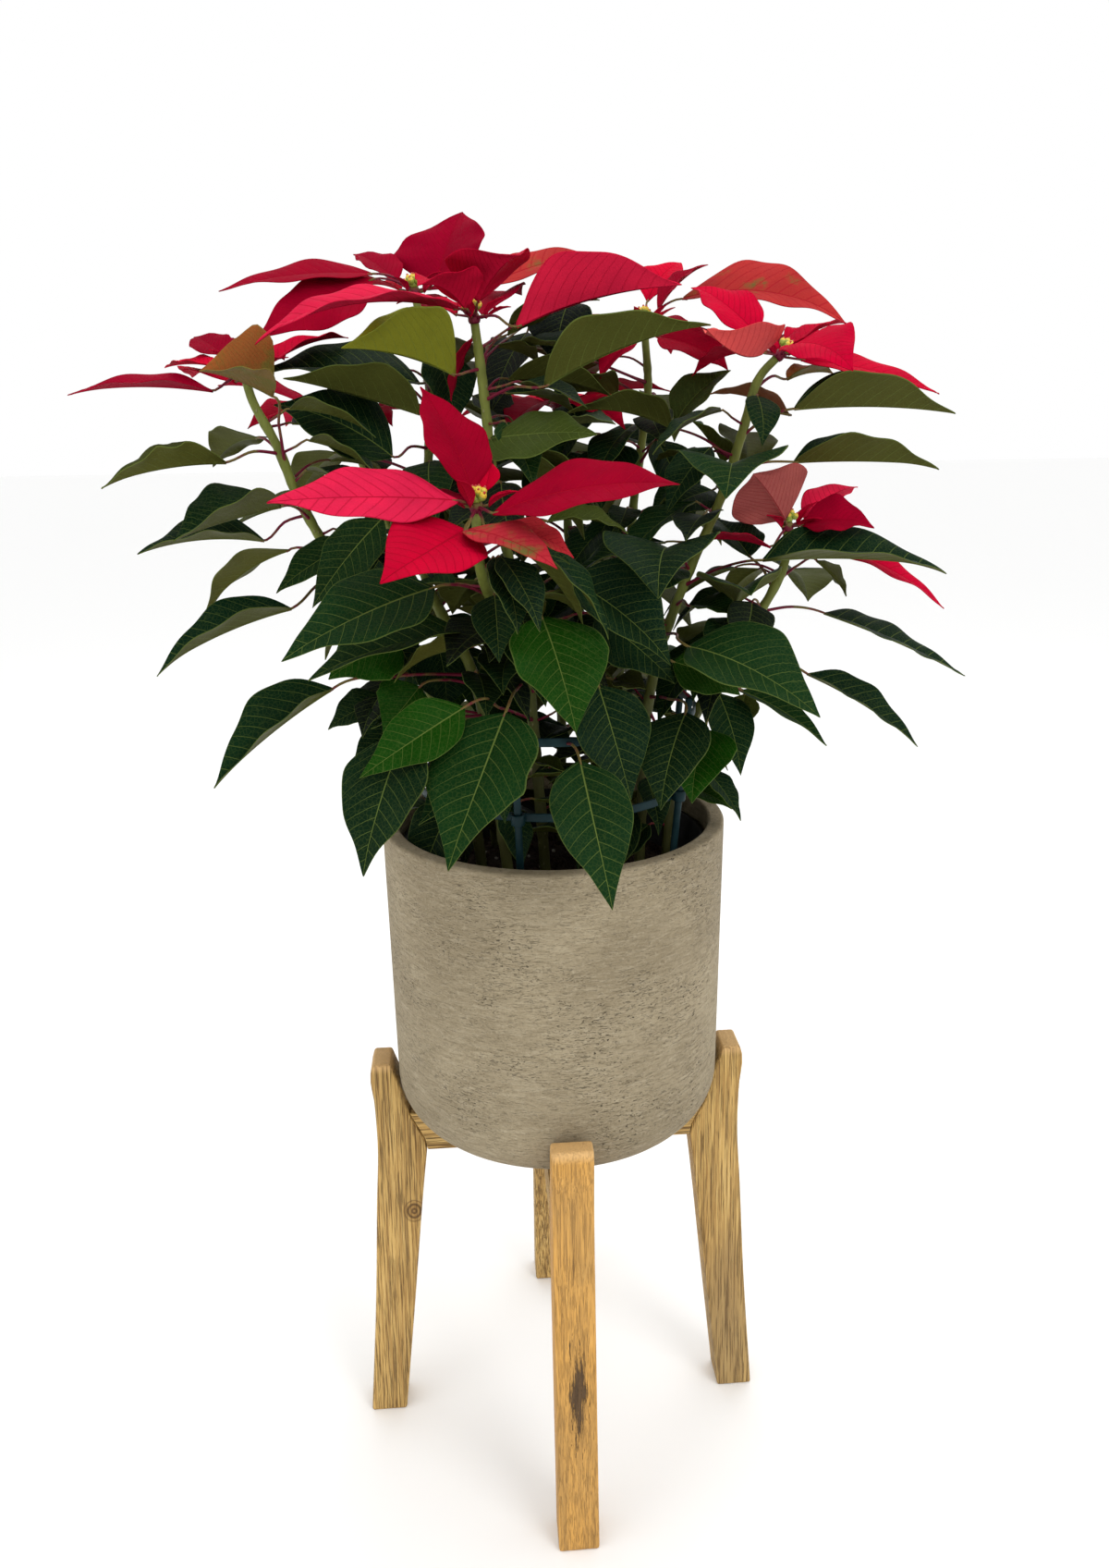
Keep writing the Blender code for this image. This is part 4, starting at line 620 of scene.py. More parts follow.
def wood_material(name, settings, along, shift, brushed=1.0, warmth=0.0):
    """Oak with its grain along one axis: 0, 1 or 2. The more brushed, the coarser its grain."""
    shade = Shade(name, 0.62, 0.3)
    slow = tuple(0.05 if axis == along else 1.0 for axis in range(3))
    fine = tuple(0.022 if axis == along else 1.0 for axis in range(3))
    wide = tuple(0.3 + 0.7 * part for part in slow)
    rings = shade.noise(shade.place(slow, shift), 45.0, 3.0, 0.55, 0.5)
    bands = shade.math("FRACT", shade.times(rings, 6.0))
    bands = shade.math("ABSOLUTE", shade.math("MULTIPLY_ADD", bands, 2.0, -1.0))
    grain = shade.place(fine, shift)
    fibres = shade.noise(grain, 620.0, 4.0, 0.75, 0.3)
    furrows = shade.smooth(shade.noise(grain, 900.0, 3.0, 0.6, 0.2), 0.52, 0.62)
    patches = shade.noise(shade.place(wide, shift), 10.0, 3.0)
    cracks = shade.smooth(shade.noise(grain, 90.0, 5.0, 0.6), 0.67, 0.72)
    colour = tuple(a + (b - a) * warmth for a, b in zip(settings.wood, settings.warm))
    for pattern, low, high, most, toward in (
            (bands, 0.15, 0.95, 0.35, settings.late),
            (fibres, 0.44, 0.64, 0.40 + 0.35 * brushed, settings.late),
            (fibres, 0.46, 0.30, 0.55 * brushed, settings.pale),
            (patches, 0.50, 0.74, 0.55 * brushed + 0.15, settings.weathered)):
        colour = shade.mix(shade.smooth(pattern, low, high, 0.0, most), colour, toward)
    dark = shade.times(furrows, 0.12 + 0.50 * brushed)
    dark = shade.math("MAXIMUM", dark, shade.times(cracks, 0.7))
    colour = shade.mix(dark, colour, settings.furrow)
    height = shade.math("MULTIPLY_ADD", dark, -1.2, shade.times(fibres, -0.6 * brushed))
    if along == 2:
        top = shade.smooth(shade.level(), *END_GRAIN, 0.0, 0.75)
        colour = shade.mix(top, colour, settings.end_grain)
        colour, mark = leg_marks(shade, name, colour, fibres, settings)
        height = shade.minus(height, mark)
    return shade.finish(colour, shade.smooth(fibres, 0.3, 0.8, 0.55, 0.78), shade.bump(height, 0.0010))


def leg_marks(shade, name, colour, fibres, settings):
    """The weathered streak low on the front leg and the knot on the left one."""
    leg = name.rsplit("_", 1)[1]
    if leg not in LEG_MARKS:
        return colour, 0.0
    centre, size = LEG_MARKS[leg]
    here = shade.node("TexCoord").outputs["Object"]
    offset = shade.node("VectorMath", {0: here, 1: centre}, operation="SUBTRACT").outputs[0]
    shrunk = shade.node("VectorMath", {0: offset, 1: size}, operation="DIVIDE").outputs[0]
    away = shade.node("VectorMath", {0: shrunk}, operation="LENGTH").outputs["Value"]
    if leg == "front":
        broken = shade.plus(away, shade.times(shade.minus(fibres, 0.5), 5.5))
        mark = shade.times(shade.smooth(broken, 0.95, 0.60), 0.9)
        return shade.mix(mark, colour, settings.knot), mark
    ring = shade.minus(shade.math("FRACT", shade.times(away, 2.2)), 0.5)
    ring = shade.smooth(shade.math("ABSOLUTE", ring), 0.30, 0.12)
    ring = shade.times(ring, shade.smooth(away, 1.25, 0.95))
    colour = shade.mix(shade.smooth(away, 1.3, 0.6, 0.0, 0.6), colour, settings.late)
    mark = shade.times(ring, 0.8)
    return shade.mix(mark, colour, settings.furrow), mark


def plastic_material(name, colour, roughness, scratch):
    """Smudged plastic with a fine grain."""
    shade = Shade(name, roughness, 0.12)
    place = shade.place()
    smudge = shade.noise(place, 35.0, 4.0, 0.6)
    grain = shade.noise(place, 900.0, 2.0)
    dusty = tuple(min(1, part * 2.2 + 0.01) for part in colour)
    smudged = shade.mix(shade.smooth(smudge, 0.4, 0.7, 0.0, 0.5), colour, dusty)
    rough = shade.smooth(smudge, 0.3, 0.7, roughness - 0.08, roughness + 0.12)
    return shade.finish(smudged, rough, shade.bump(grain, scratch))


def soil_material(settings):
    """Dark peat with paler lumps."""
    shade = Shade("peat", 0.95, 0.2)
    lumps = shade.noise(shade.place(), 160.0, 5.0, 0.7)
    colour = shade.mix(shade.smooth(lumps, 0.35, 0.7), settings.peat, scaled(settings.peat, 3.2))
    return shade.finish(colour, None, shade.bump(lumps, 0.003))


def plain_material(name, colour, roughness):
    """One colour that is darker in small patches."""
    shade = Shade(name, roughness)
    noise = shade.noise(shade.place(), 500.0, 3.0)
    varied = shade.mix(shade.smooth(noise, 0.3, 0.7, 0.0, 0.4), colour, scaled(colour, 0.6))
    return shade.finish(varied, None, shade.bump(noise, 0.0003))


def bud_material(name, settings):
    """Green cup, yellow lip and red tuft, by each bud's own height attribute."""
    shade = Shade(name, 0.4)
    level = shade.attribute("level")
    noise = shade.noise(shade.place(), 700.0, 2.0)
    colour = shade.mix(shade.smooth(level, 0.50, 0.60), settings.cup, settings.gland)
    colour = shade.mix(shade.smooth(level, 0.78, 0.86), colour, settings.tuft)
    dim = shade.smooth(noise, 0.3, 0.8, 0.0, 0.4)
    colour = shade.mix(dim, colour, shade.tinted(colour, (0.5, 0.6, 0.4)))
    return shade.finish(colour, None, shade.bump(noise, 0.0002))


# Sizes that the solids' source also holds
CAD_BLADE = 0.8 * MM
CAD_GAP = 0.3 * MM
LONG_SPAN = 60 * MM
LONG_PETIOLE = 35 * MM
PETIOLE_ARCH = 5 * MM
STEM_FOOT_RADIUS = 5 * MM
STEM_TIP_RADIUS = 3.5 * MM
HUB_RADIUS = 5 * MM
HUB_HEIGHT = 8 * MM
PLANTER_BOTTOM = 311.3 * MM
RIM_HEIGHT = 586.5 * MM
WALL_STEPS = 8
NURSERY = {"top radius": 131 * MM, "base radius": 98 * MM, "top": 566 * MM, "wall": 2 * MM, "lip": 2.5 * MM}
SOIL_TOP = 530 * MM
SOIL_RISE = 3 * MM
SOIL_TAPER = 0.138
SOIL_RINGS = 22
STAKE_HEADINGS = [-107, -35, 20, 145]
STAKE_FOOT = (104 * MM, 440 * MM)
STAKE_TOP = (131 * MM, 705 * MM)
HOOP_HEIGHTS = {"lower": 622 * MM, "upper": 685 * MM}
EYELET_WALL = 2 * MM
EYELET_HEIGHT = 9 * MM
BAND_ROUNDING = 0.6 * MM
STAKE_STEPS = 30
LEG_HEADINGS = {"right": 0, "rear": 90, "left": 180, "front": 270}
LEG_RUNS = [
    [(184, 0), (175, 127), (170, 224), (167, 276), (168, 321), (170, 354), (168, 361)],
    [(152, 361), (144, 338), (137, 311)],
    [(124, 285), (122, 274)],
    [(122, 274), (126, 240), (138, 124), (151, 0)],
]
BAR_BOTTOM = 274 * MM
BAR_TOP = 311 * MM
BAR_END = [(122 * MM, BAR_BOTTOM), (124 * MM, 285 * MM), (137 * MM, BAR_TOP)]

WIDE_COLUMNS = (0, 0.035, 0.09, 0.18, 0.30, 0.44, 0.59, 0.74, 0.87, 0.96, 1)
NARROW_COLUMNS = (0, 0.06, 0.18, 0.36, 0.57, 0.78, 0.93, 1)
NARROW_BLADE = 45 * MM
FEWEST_ROWS = 9
BLADE_END = 0.992

# A blade's form. A pair is the range of a random draw, and the shift of lobes, the twist in
# degrees and the bend are drawn as far either way
LOBE_SHIFT = 0.03
SIDE_SHARE = (0.96, 1.04)
WAVES = (2.2, 3.4)
FULL_WAVE_WIDTH = 60 * MM
ARCH = (0.10, 0.20)
TWIST = 12
BEND = 0.03
CURL = (0.0, 0.035)
CURL_START = 0.72
CURL_SPAN = 0.28
RIB_DEPTH = 0.9 * MM
RIB_END_DEPTH = 0.1 * MM
RIB_WIDTH = 1.2 * MM
# Side veins, alike in the mesh and in the material: how they lean and bow towards the tip, and
# how far those of one side are ahead of the other's
VEIN_LEAN = 0.62
VEIN_BOW = 1.1
VEIN_STAGGER = 0.37

BLADE_SLOT, PETIOLE_SLOT, STEM_SLOT = range(3)
PETIOLE_SIDES = 8
TUBE_SIDES = 16
PATH_STEP = 5 * MM
HUB_SHAPE = (0.85, 1.0, 0.95, 0.75)

# Rings of a bud cluster: distance from its middle and height in millimetres, and lean
INNER_BUDS = 3
INNER_RING = (3.0, 7.0, 0.25)
OUTER_RING = (5.4, 4.4, 0.55)

# Wood: how the grain moves on from leg to leg, the heights between which a leg's top turns into
# end grain, and the middle and size of a streak and a knot
LEG_GRAIN_STEP = (0.37, 0.21, 0.5)
END_GRAIN = (0.351, 0.359)
LEG_MARKS = {
    "front": ((0.002, -0.178, 0.145), (0.0070, 0.030, 0.042)),
    "left": ((-0.136, -0.017, 0.212), (0.0085, 0.012, 0.0100)),
}

# Lights: name, place, height aimed at, side length, and a share of a strength in the settings
LIGHTS = [
    ("key", (1.3, -1.9, 2.3), 0.7, 1.2, ("key", 1.0)),
    ("fill", (-2.2, -1.2, 1.2), 0.7, 1.6, ("fill", 1.0)),
    ("top", (0.2, 0.6, 2.8), 0.8, 1.4, ("key", 0.7)),
]

# The camera, fitted to the planter's rim, the legs and the feet
SENSOR_WIDTH = 36
LENS = 28.447
LENS_SHIFT = (-0.0064, -0.0735)
CAMERA_PLACE = (-0.0697, -1.047, 0.9362)
CAMERA_AHEAD = (0.0759, 0.976, -0.2041)
CAMERA_ROLL = -0.78


class Parts:
    """Gathers points, faces and their attributes, and makes one object of them."""

    FLOATS = ("reach", "under", "turned", "own", "edge")

    def __init__(self):
        self.points = []
        self.faces = []
        self.slots = []
        self.uvs = []
        self.values = {name: [] for name in self.FLOATS}
        self.tints = []
        self.count = 0

    def add(self, points, faces, slot, uvs=None, tint=(0, 0, 0), **values):
        points = np.asarray(points, float)
        self.points.append(points)
        self.faces += [[index + self.count for index in face] for face in faces]
        self.slots += [slot] * len(faces)
        self.uvs.append(np.zeros((len(points), 2)) if uvs is None else uvs)
        self.tints.append(np.tile((*tint, 1.0), (len(points), 1)))
        for name in self.FLOATS:
            self.values[name].append(np.broadcast_to(values.get(name, 0.0), len(points)))
        self.count += len(points)

    def make(self, name, materials):
        mesh = bpy.data.meshes.new(name)
        mesh.from_pydata(np.concatenate(self.points).tolist(), [], self.faces)
        for material in materials:
            mesh.materials.append(material)
        mesh.polygons.foreach_set("material_index", self.slots)
        mesh.shade_smooth()
        corners = np.zeros(len(mesh.loops), int)
        mesh.loops.foreach_get("vertex_index", corners)
        layer = mesh.uv_layers.new(name="blade")
        layer.uv.foreach_set("vector", np.concatenate(self.uvs)[corners].astype(np.float32).ravel())
        for key, value in self.values.items():
            made = mesh.attributes.new(key, "FLOAT", "POINT")
            made.data.foreach_set("value", np.concatenate(value).astype(np.float32))
        tint = mesh.attributes.new("tint", "FLOAT_COLOR", "POINT")
        tint.data.foreach_set("color", np.concatenate(self.tints).astype(np.float32).ravel())
        mesh.validate()
        return link(bpy.data.objects.new(name, mesh))


def link(obj):
    bpy.context.scene.collection.objects.link(obj)
    return obj


def from_bmesh(name, shape, material, degrees=35):
    """A smooth object of a shape. Each face starts at its first point, and the faces are sorted,
    so that every run gives the same mesh."""
    mesh = bpy.data.meshes.new(name)
    shape.verts.index_update()
    faces = []
    for face in shape.faces:
        corners = [vertex.index for vertex in face.verts]
        first = corners.index(min(corners))
        faces.append(corners[first:] + corners[:first])
    mesh.from_pydata([vertex.co for vertex in shape.verts], [], sorted(faces))
    shape.free()
    mesh.materials.append(material)
    obj = link(bpy.data.objects.new(name, mesh))
    mesh.shade_smooth()
    mesh.set_sharp_from_angle(angle=math.radians(degrees))
    return obj


def hold(piece, slot, *nodes):
    """The piece rides on the only body and stands for these solids. The slot is not used."""
    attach(piece, "root")
    if nodes:
        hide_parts(*nodes)


def applied(obj):
    """Turns an object with modifiers into a plain mesh."""
    graph = bpy.context.evaluated_depsgraph_get()
    made = bpy.data.meshes.new_from_object(obj.evaluated_get(graph))
    obj.modifiers.clear()
    obj.data = made
    return obj


def smooth_values(points, at):
    """A smooth line through pairs of place and value, read at many places."""
    x = np.array([p[0] for p in points], float)
    y = np.array([p[1] for p in points], float)
    slope = np.gradient(y, x)
    k = np.clip(np.searchsorted(x, at, side="right") - 1, 0, len(x) - 2)
    step = x[k + 1] - x[k]
    s = (at - x[k]) / step
    near = (1 + 2 * s) * (1 - s) ** 2 * y[k] + s * (1 - s) ** 2 * step * slope[k]
    far = s * s * (3 - 2 * s) * y[k + 1] + s * s * (s - 1) * step * slope[k + 1]
    return near + far


def curve_through(points, spacing):
    """A smooth curve through points, with a point about every spacing."""
    points = np.array([list(p) for p in points], float)
    gaps = np.linalg.norm(np.diff(points, axis=0), axis=1)
    places = np.concatenate([[0], np.cumsum(gaps)])
    at = np.linspace(0, places[-1], max(4, int(places[-1] / spacing) + 1))
    return np.stack([smooth_values(list(zip(places, points[:, axis])), at) for axis in range(3)], axis=1)


def smooth_path(points):
    """The solids' own path: points in metres, with one more in the middle of each long span."""
    ends = [Vector(p) * MM for p in points]
    before = [2 * ends[0] - ends[1]] + ends + [2 * ends[-1] - ends[-2]]
    path = []
    for a, b, c, d in zip(before, before[1:], before[2:], before[3:]):
        path.append(b)
        if (c - b).length > LONG_SPAN:
            path.append((9 * (b + c) - a - d) / 16)
    return path + [ends[-1]]


def point_at_height(path, z):
    for a, b in zip(path, path[1:]):
        if a.z <= z <= b.z:
            return a.lerp(b, (z - a.z) / (b.z - a.z))
    return path[-1].copy()


def turned_xyz(heading, radius, z):
    angle = math.radians(heading)
    return Vector((radius * math.cos(angle), radius * math.sin(angle), z))


def blade_frame(seat, tip, roll):
    """Directions along and across a blade and out of its upper face."""
    along = (tip - seat).normalized()
    up = (UP - along * along.z).normalized()
    lean = along.cross(up)
    if 0.3 * lean.x < lean.y:
        lean = -lean
    angle = math.radians(roll)
    face = up * math.cos(angle) + lean * math.sin(angle)
    return along, along.cross(face), face


def slides():
    """The offsets that the solids' source tries for a leaf that would cross something."""
    yield Vector((0, 0, 0))
    ways = [(0, -1, 0), (0, 1, 0), (0, 0, -1), (0, 0, 1), (0, -1, -1), (0, 1, 1), (1, 0, 0), (-1, 0, 0)]
    for step in (8, 14, 20, 28, 36, 46):
        for way in ways:
            yield Vector(way).normalized() * step * MM


def tree_of(node):
    """A search tree of a node's points."""
    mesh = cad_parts[node].data
    tree = KDTree(len(mesh.vertices))
    for vertex in mesh.vertices:
        tree.insert(vertex.co, vertex.index)
    tree.balance()
    return tree


def placed(tree, seat, tip, roll):
    """Seat and tip where the solid's blade is, after it was slid clear."""
    for offset in slides():
        moved_seat, moved_tip = seat + offset * 0.6, tip + offset
        face = blade_frame(moved_seat, moved_tip, roll)[2]
        if tree.find(moved_tip - face * CAD_BLADE / 2)[2] < 0.05 * MM:
            return moved_seat, moved_tip
    raise ValueError(f"no blade of the solids has its tip near {tip}")


def tube(parts, path, radii, sides, slot=0):
    """A round tube along a path, closed at both ends."""
    path = np.asarray(path, float)
    headings = np.gradient(path, axis=0)
    headings /= np.linalg.norm(headings, axis=1)[:, None]
    side = np.cross(headings[0], (0.31, 0.87, 0.38))
    rings = []
    angles = np.linspace(0, math.tau, sides, endpoint=False)
    for here, heading, radius in zip(path, headings, radii):
        side = side - heading * (side @ heading)
        side /= np.linalg.norm(side)
        other = np.cross(heading, side)
        rings.append(here + radius * (np.cos(angles)[:, None] * side + np.sin(angles)[:, None] * other))
    points = np.concatenate(rings + [path[:1], path[-1:]])
    faces = []
    last = (len(path) - 1) * sides
    for j in range(sides):
        k = (j + 1) % sides
        faces.append((k, j, len(path) * sides))
        faces.append((last + j, last + k, len(path) * sides + 1))
        faces += [(i + j, i + k, i + sides + k, i + sides + j) for i in range(0, last, sides)]
    own = np.concatenate([np.repeat(np.linspace(0, 1, len(path)), sides), [0, 1]])
    parts.add(points, faces, slot, own=own)


def lobed(t, side, lobes, draw_shift):
    """How much wider an outline is for its lobes: a gentle rise and a steep end, as teeth have."""
    share = np.ones_like(t)
    for own_side, place, height, behind, ahead in lobes:
        if own_side == side:
            centre = place + draw_shift
            rise = np.clip(1 - (centre - t) / behind, 0, 1) * (t <= centre)
            fall = np.clip(1 - (t - centre) / ahead, 0, 1) * (t > centre)
            share = share + height * (rise + fall)
    return share


def add_blade(parts, blade, tint, turned, settings, foliage, draw):
    """One blade: a folded, arched and waved sheet with a raised rib below, on the solid blade's frame."""
    seat, tip, width, roll, fold, bow, outline = blade
    along, across, face = (np.array(v) for v in blade_frame(seat, tip, roll))
    length = (tip - seat).length
    columns = np.array(NARROW_COLUMNS if width < NARROW_BLADE else WIDE_COLUMNS)
    share = np.concatenate([-columns[:0:-1], columns])
    t = np.linspace(0, BLADE_END, max(FEWEST_ROWS, round(length / foliage.spacing)))
    line = t[:, None]
    half = width / 2 * smooth_values(OUTLINES.get(outline, OUTLINES["leaf"]), t)
    shift = draw.uniform(-LOBE_SHIFT, LOBE_SHIFT)
    sides = [half * lobed(t, side, LOBES[outline], shift) * draw.uniform(*SIDE_SHARE) for side in (-1, 1)]
    extent = np.where(share[None, :] < 0, sides[0][:, None], sides[1][:, None])
    size = np.abs(share)[None, :]
    reach = size * extent / length
    own = draw.random()
    phase = settings.vein_pairs * (line - VEIN_LEAN * reach - VEIN_BOW * reach * reach) + own
    phase = phase + VEIN_STAGGER * (share[None, :] > 0)
    waves = draw.uniform(*WAVES)
    wave = settings.wave * min(1.0, width / FULL_WAVE_WIDTH)
    swing = np.where(share[None, :] < 0, draw.uniform(0, math.tau), draw.uniform(0, math.tau))
    swell = np.sin(math.pi * line) ** 0.5
    ripple = wave * np.sin(math.tau * waves * line + swing) * size ** 2.2 * swell
    turn = math.radians(fold) * (1.06 - 0.15 * line)
    arch = draw.uniform(*ARCH)
    lift = size * extent * np.sin(turn) + arch * extent * size * (1 - size) + ripple
    quilt = foliage.quilting * np.cos(math.tau * phase) * np.sin(math.pi * size)
    lift += quilt * min(1.0, width / FULL_WAVE_WIDTH)
    twist = math.radians(draw.uniform(-TWIST, TWIST)) * (t - 0.25)
    side_way = np.cos(twist)[:, None] * across + np.sin(twist)[:, None] * face
    up_way = np.cos(twist)[:, None] * face - np.sin(twist)[:, None] * across
    bend = draw.uniform(-BEND, BEND)
    curl = draw.uniform(*CURL)
    arched = (face * bow + across * bend) * length * 4 * line * (1 - line)
    rib = np.array(seat) + along * length * line + arched
    rib -= face * length * curl * np.clip((line - CURL_START) / CURL_SPAN, 0, 1) ** 2
    upper = rib[:, None] + side_way[:, None] * (share[None, :] * extent * np.cos(turn))[..., None]
    upper = upper + up_way[:, None] * lift[..., None]
    depth = RIB_DEPTH * (1 - line) ** 0.8 + RIB_END_DEPTH
    bulge = depth * np.exp(-(size * extent / RIB_WIDTH) ** 2)
    lower = upper - up_way[:, None] * (foliage.thickness + bulge)[..., None]
    end = np.array(tip) - face * (length * curl + foliage.thickness / 2)
    add_sheet(parts, upper, lower, end, t, share, reach, tint, turned, own)


def add_sheet(parts, upper, lower, end, t, share, reach, tint, turned, own):
    """Joins a blade's upper and lower face round its edge and at its tip."""
    rows, count = upper.shape[:2]
    size = rows * count
    point = 2 * size
    grid = np.arange(size).reshape(rows, count)
    a, b, c, d = grid[:-1, :-1], grid[:-1, 1:], grid[1:, 1:], grid[1:, :-1]
    faces = np.stack([a, b, c, d], -1).reshape(-1, 4).tolist()
    faces += (np.stack([a, d, c, b], -1).reshape(-1, 4) + size).tolist()
    for near, far in zip(grid, grid[1:]):
        faces.append((near[0], far[0], far[0] + size, near[0] + size))
        faces.append((far[-1], near[-1], near[-1] + size, far[-1] + size))
    first, last = grid[0], grid[-1]
    for j in range(count - 1):
        faces.append((first[j + 1], first[j], first[j] + size, first[j + 1] + size))
        faces.append((last[j], last[j + 1], point))
        faces.append((last[j + 1] + size, last[j] + size, point))
    faces.append((last[0], point, last[0] + size))
    faces.append((point, last[-1], last[-1] + size))
    spread = np.stack(np.broadcast_arrays(t[:, None], (share[None, :] + 1) / 2), -1).reshape(-1, 2)
    points = np.concatenate([upper.reshape(-1, 3), lower.reshape(-1, 3), end[None]])
    both = np.concatenate([reach.ravel(), reach.ravel(), [0]])
    edge = np.broadcast_to(np.abs(share)[None, :], (rows, count)).ravel()
    parts.add(points, faces, BLADE_SLOT, np.concatenate([spread, spread, [[1, 0.5]]]), tint, reach=both,
              under=np.repeat([0, 1, 0.5], [size, size, 1]), turned=turned, own=own,
              edge=np.concatenate([edge, edge, [1]]))


def petiole_path(root, seat, tip):
    """From the stem to the blade's seat, arched if long, and on into the blade."""
    middle = root.lerp(seat, 0.5)
    if (seat - root).length > LONG_PETIOLE:
        middle += UP * PETIOLE_ARCH
    return [root, middle, seat, seat + (tip - seat) * 0.03]


def add_petiole(parts, root, seat, tip, radius):
    """A leaf stalk, thickest where it leaves the stem."""
    path = curve_through(petiole_path(root, seat, tip), PATH_STEP)
    along = np.linspace(0, 1, len(path))
    radii = radius * (1.0 - 0.25 * along + 0.5 * np.exp(-(along / 0.08) ** 2))
    tube(parts, path, radii, PETIOLE_SIDES, PETIOLE_SLOT)


def hub_of(name):
    """The top of a stem and its direction there, where its bloom's foot stands."""
    path = smooth_path(STEMS[name])
    return path[-1], (path[-1] - path[-2]).normalized()


def bract_root(name, count):
    """Where a bract starts inside the foot of its bloom. The foot and each earlier bract count."""
    top, axis = hub_of(name)
    return top + axis * HUB_HEIGHT * (0.35 + 0.3 * (count * GOLDEN_SHARE % 1))


def sloped(out, degrees):
    """A level direction turned up, or down if the angle is negative."""
    slope = math.radians(degrees)
    return out * math.cos(slope) + UP * math.sin(slope)


def rear_leaf_rows(draw):
    """Leaves on the far side: up each stem, with headings that step by the golden share."""
    for name, (count, low, high, first, last) in REAR_LEAVES.items():
        for k in range(count):
            height = low + (high - low) * k / max(count - 1, 1)
            heading = first + (last - first) * ((k * GOLDEN_SHARE + 0.3) % 1)
            root = point_at_height(smooth_path(STEMS[name]), height * MM)
            out = turned_xyz(heading, 1, 0)
            petiole = draw.uniform(*REAR_PETIOLE)
            length = draw.uniform(*REAR_LEAF_LENGTH)
            seat = root + out * petiole + UP * draw.uniform(*REAR_LEAF_LIFT) * MM
            tip = seat + sloped(out, -draw.uniform(*REAR_LEAF_DIP)) * length
            width = length * draw.uniform(*REAR_LEAF_SLIMNESS)
            yield name, root, seat, tip, width, draw.uniform(*REAR_LEAF_ROLL)


def rear_bract_rows(draw):
    """Bracts on the far side of each bloom."""
    for name, (count, first, last) in REAR_BRACTS.items():
        top, axis = hub_of(name)
        for k in range(count):
            heading = first + (last - first) * k / max(count - 1, 1) + draw.uniform(*REAR_BRACT_TURN)
            out = turned_xyz(heading, 1, 0)
            length = draw.uniform(*REAR_BRACT_LENGTH)
            rise = draw.uniform(*REAR_BRACT_RISE)
            seat = top + axis * 4 * MM + out * draw.uniform(*REAR_BRACT_SEAT) * MM + UP * 4 * MM
            tip = seat + sloped(out, rise) * length
            width = length * draw.uniform(*REAR_BRACT_SLIMNESS)
            yield name, seat, tip, width, draw.uniform(*REAR_BRACT_ROLL)


def all_blades(kind):
    """Every leaf of the stems or bract of the blooms: node, root, blade and tone. A blade is its
    seat, tip, width, roll, fold, bow and outline."""
    trees = {node: tree_of(node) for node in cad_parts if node.startswith(kind)}
    counts = {}
    draw = random.Random(REAR_SEED)
    rows = []
    for name, seat, tip, width, roll, fold, bow, tone in BRACTS:
        rows.append(("bloom_", name, None, Vector(seat) * MM, Vector(tip) * MM, width * MM, roll, fold, bow,
                     "bract", tone))
    for name, height, seat, tip, width, roll, fold, bow, outline, tone in LEAVES:
        root = point_at_height(smooth_path(STEMS[name]), height * MM)
        rows.append(("stem_", name, root, Vector(seat) * MM, Vector(tip) * MM, width * MM, roll, fold, bow,
                     outline, tone))
    for k, (name, seat, tip, width, roll) in enumerate(rear_bract_rows(draw)):
        rows.append(("bloom_", name, None, seat, tip, width, roll, REAR_FOLD, REAR_BOW, "bract",
                     REAR_BRACT_TONES[k % len(REAR_BRACT_TONES)]))
    for k, (name, root, seat, tip, width, roll) in enumerate(rear_leaf_rows(draw)):
        rows.append(("stem_", name, root, seat, tip, width, roll, REAR_FOLD, REAR_BOW, "leaf",
                     REAR_TONES[k % len(REAR_TONES)]))
    for row_kind, name, root, seat, tip, width, roll, *rest, tone in rows:
        if row_kind != kind:
            continue
        node = stem_node(name) if kind == "stem_" else kind + name
        if root is None:
            counts[name] = counts.get(name, 0) + 1
            root = bract_root(name, counts[name])
        seat, tip = placed(trees[node], seat, tip, roll)
        yield node, root, (seat, tip, width, roll, *rest), tone


def stem_node(name):
    """The node that a stem or branch belongs to."""
    return "stem_" + BRANCH_OF.get(name, name)


def plate_of(seat, tip, width, roll):
    """A coarse outline of a blade, to test whether it would cross something."""
    along, across, _ = blade_frame(seat, tip, roll)
    length = (tip - seat).length
    points = [seat]
    for t, share in ((0.12, 0.6), (0.35, 1.0), (0.6, 0.8), (0.8, 0.4)):
        points += [seat + along * length * t + across * side * width * share / 2 for side in (-1, 1)]
    points.append(tip)
    faces = [(0, 1, 2), (1, 3, 4, 2), (3, 5, 6, 4), (5, 7, 8, 6), (7, 9, 8)]
    return BVHTree.FromPolygons(points, faces)


def plant_trees():
    """Search trees of every solid that a new leaf must stay clear of."""
    trees = []
    for name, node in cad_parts.items():
        if name.startswith(("stem_", "bloom_", "hoop_", "stake_", "planter", "cyathia_")):
            points = [vertex.co for vertex in node.data.vertices]
            trees.append(BVHTree.FromPolygons(points, [face.vertices for face in node.data.polygons]))
    return trees


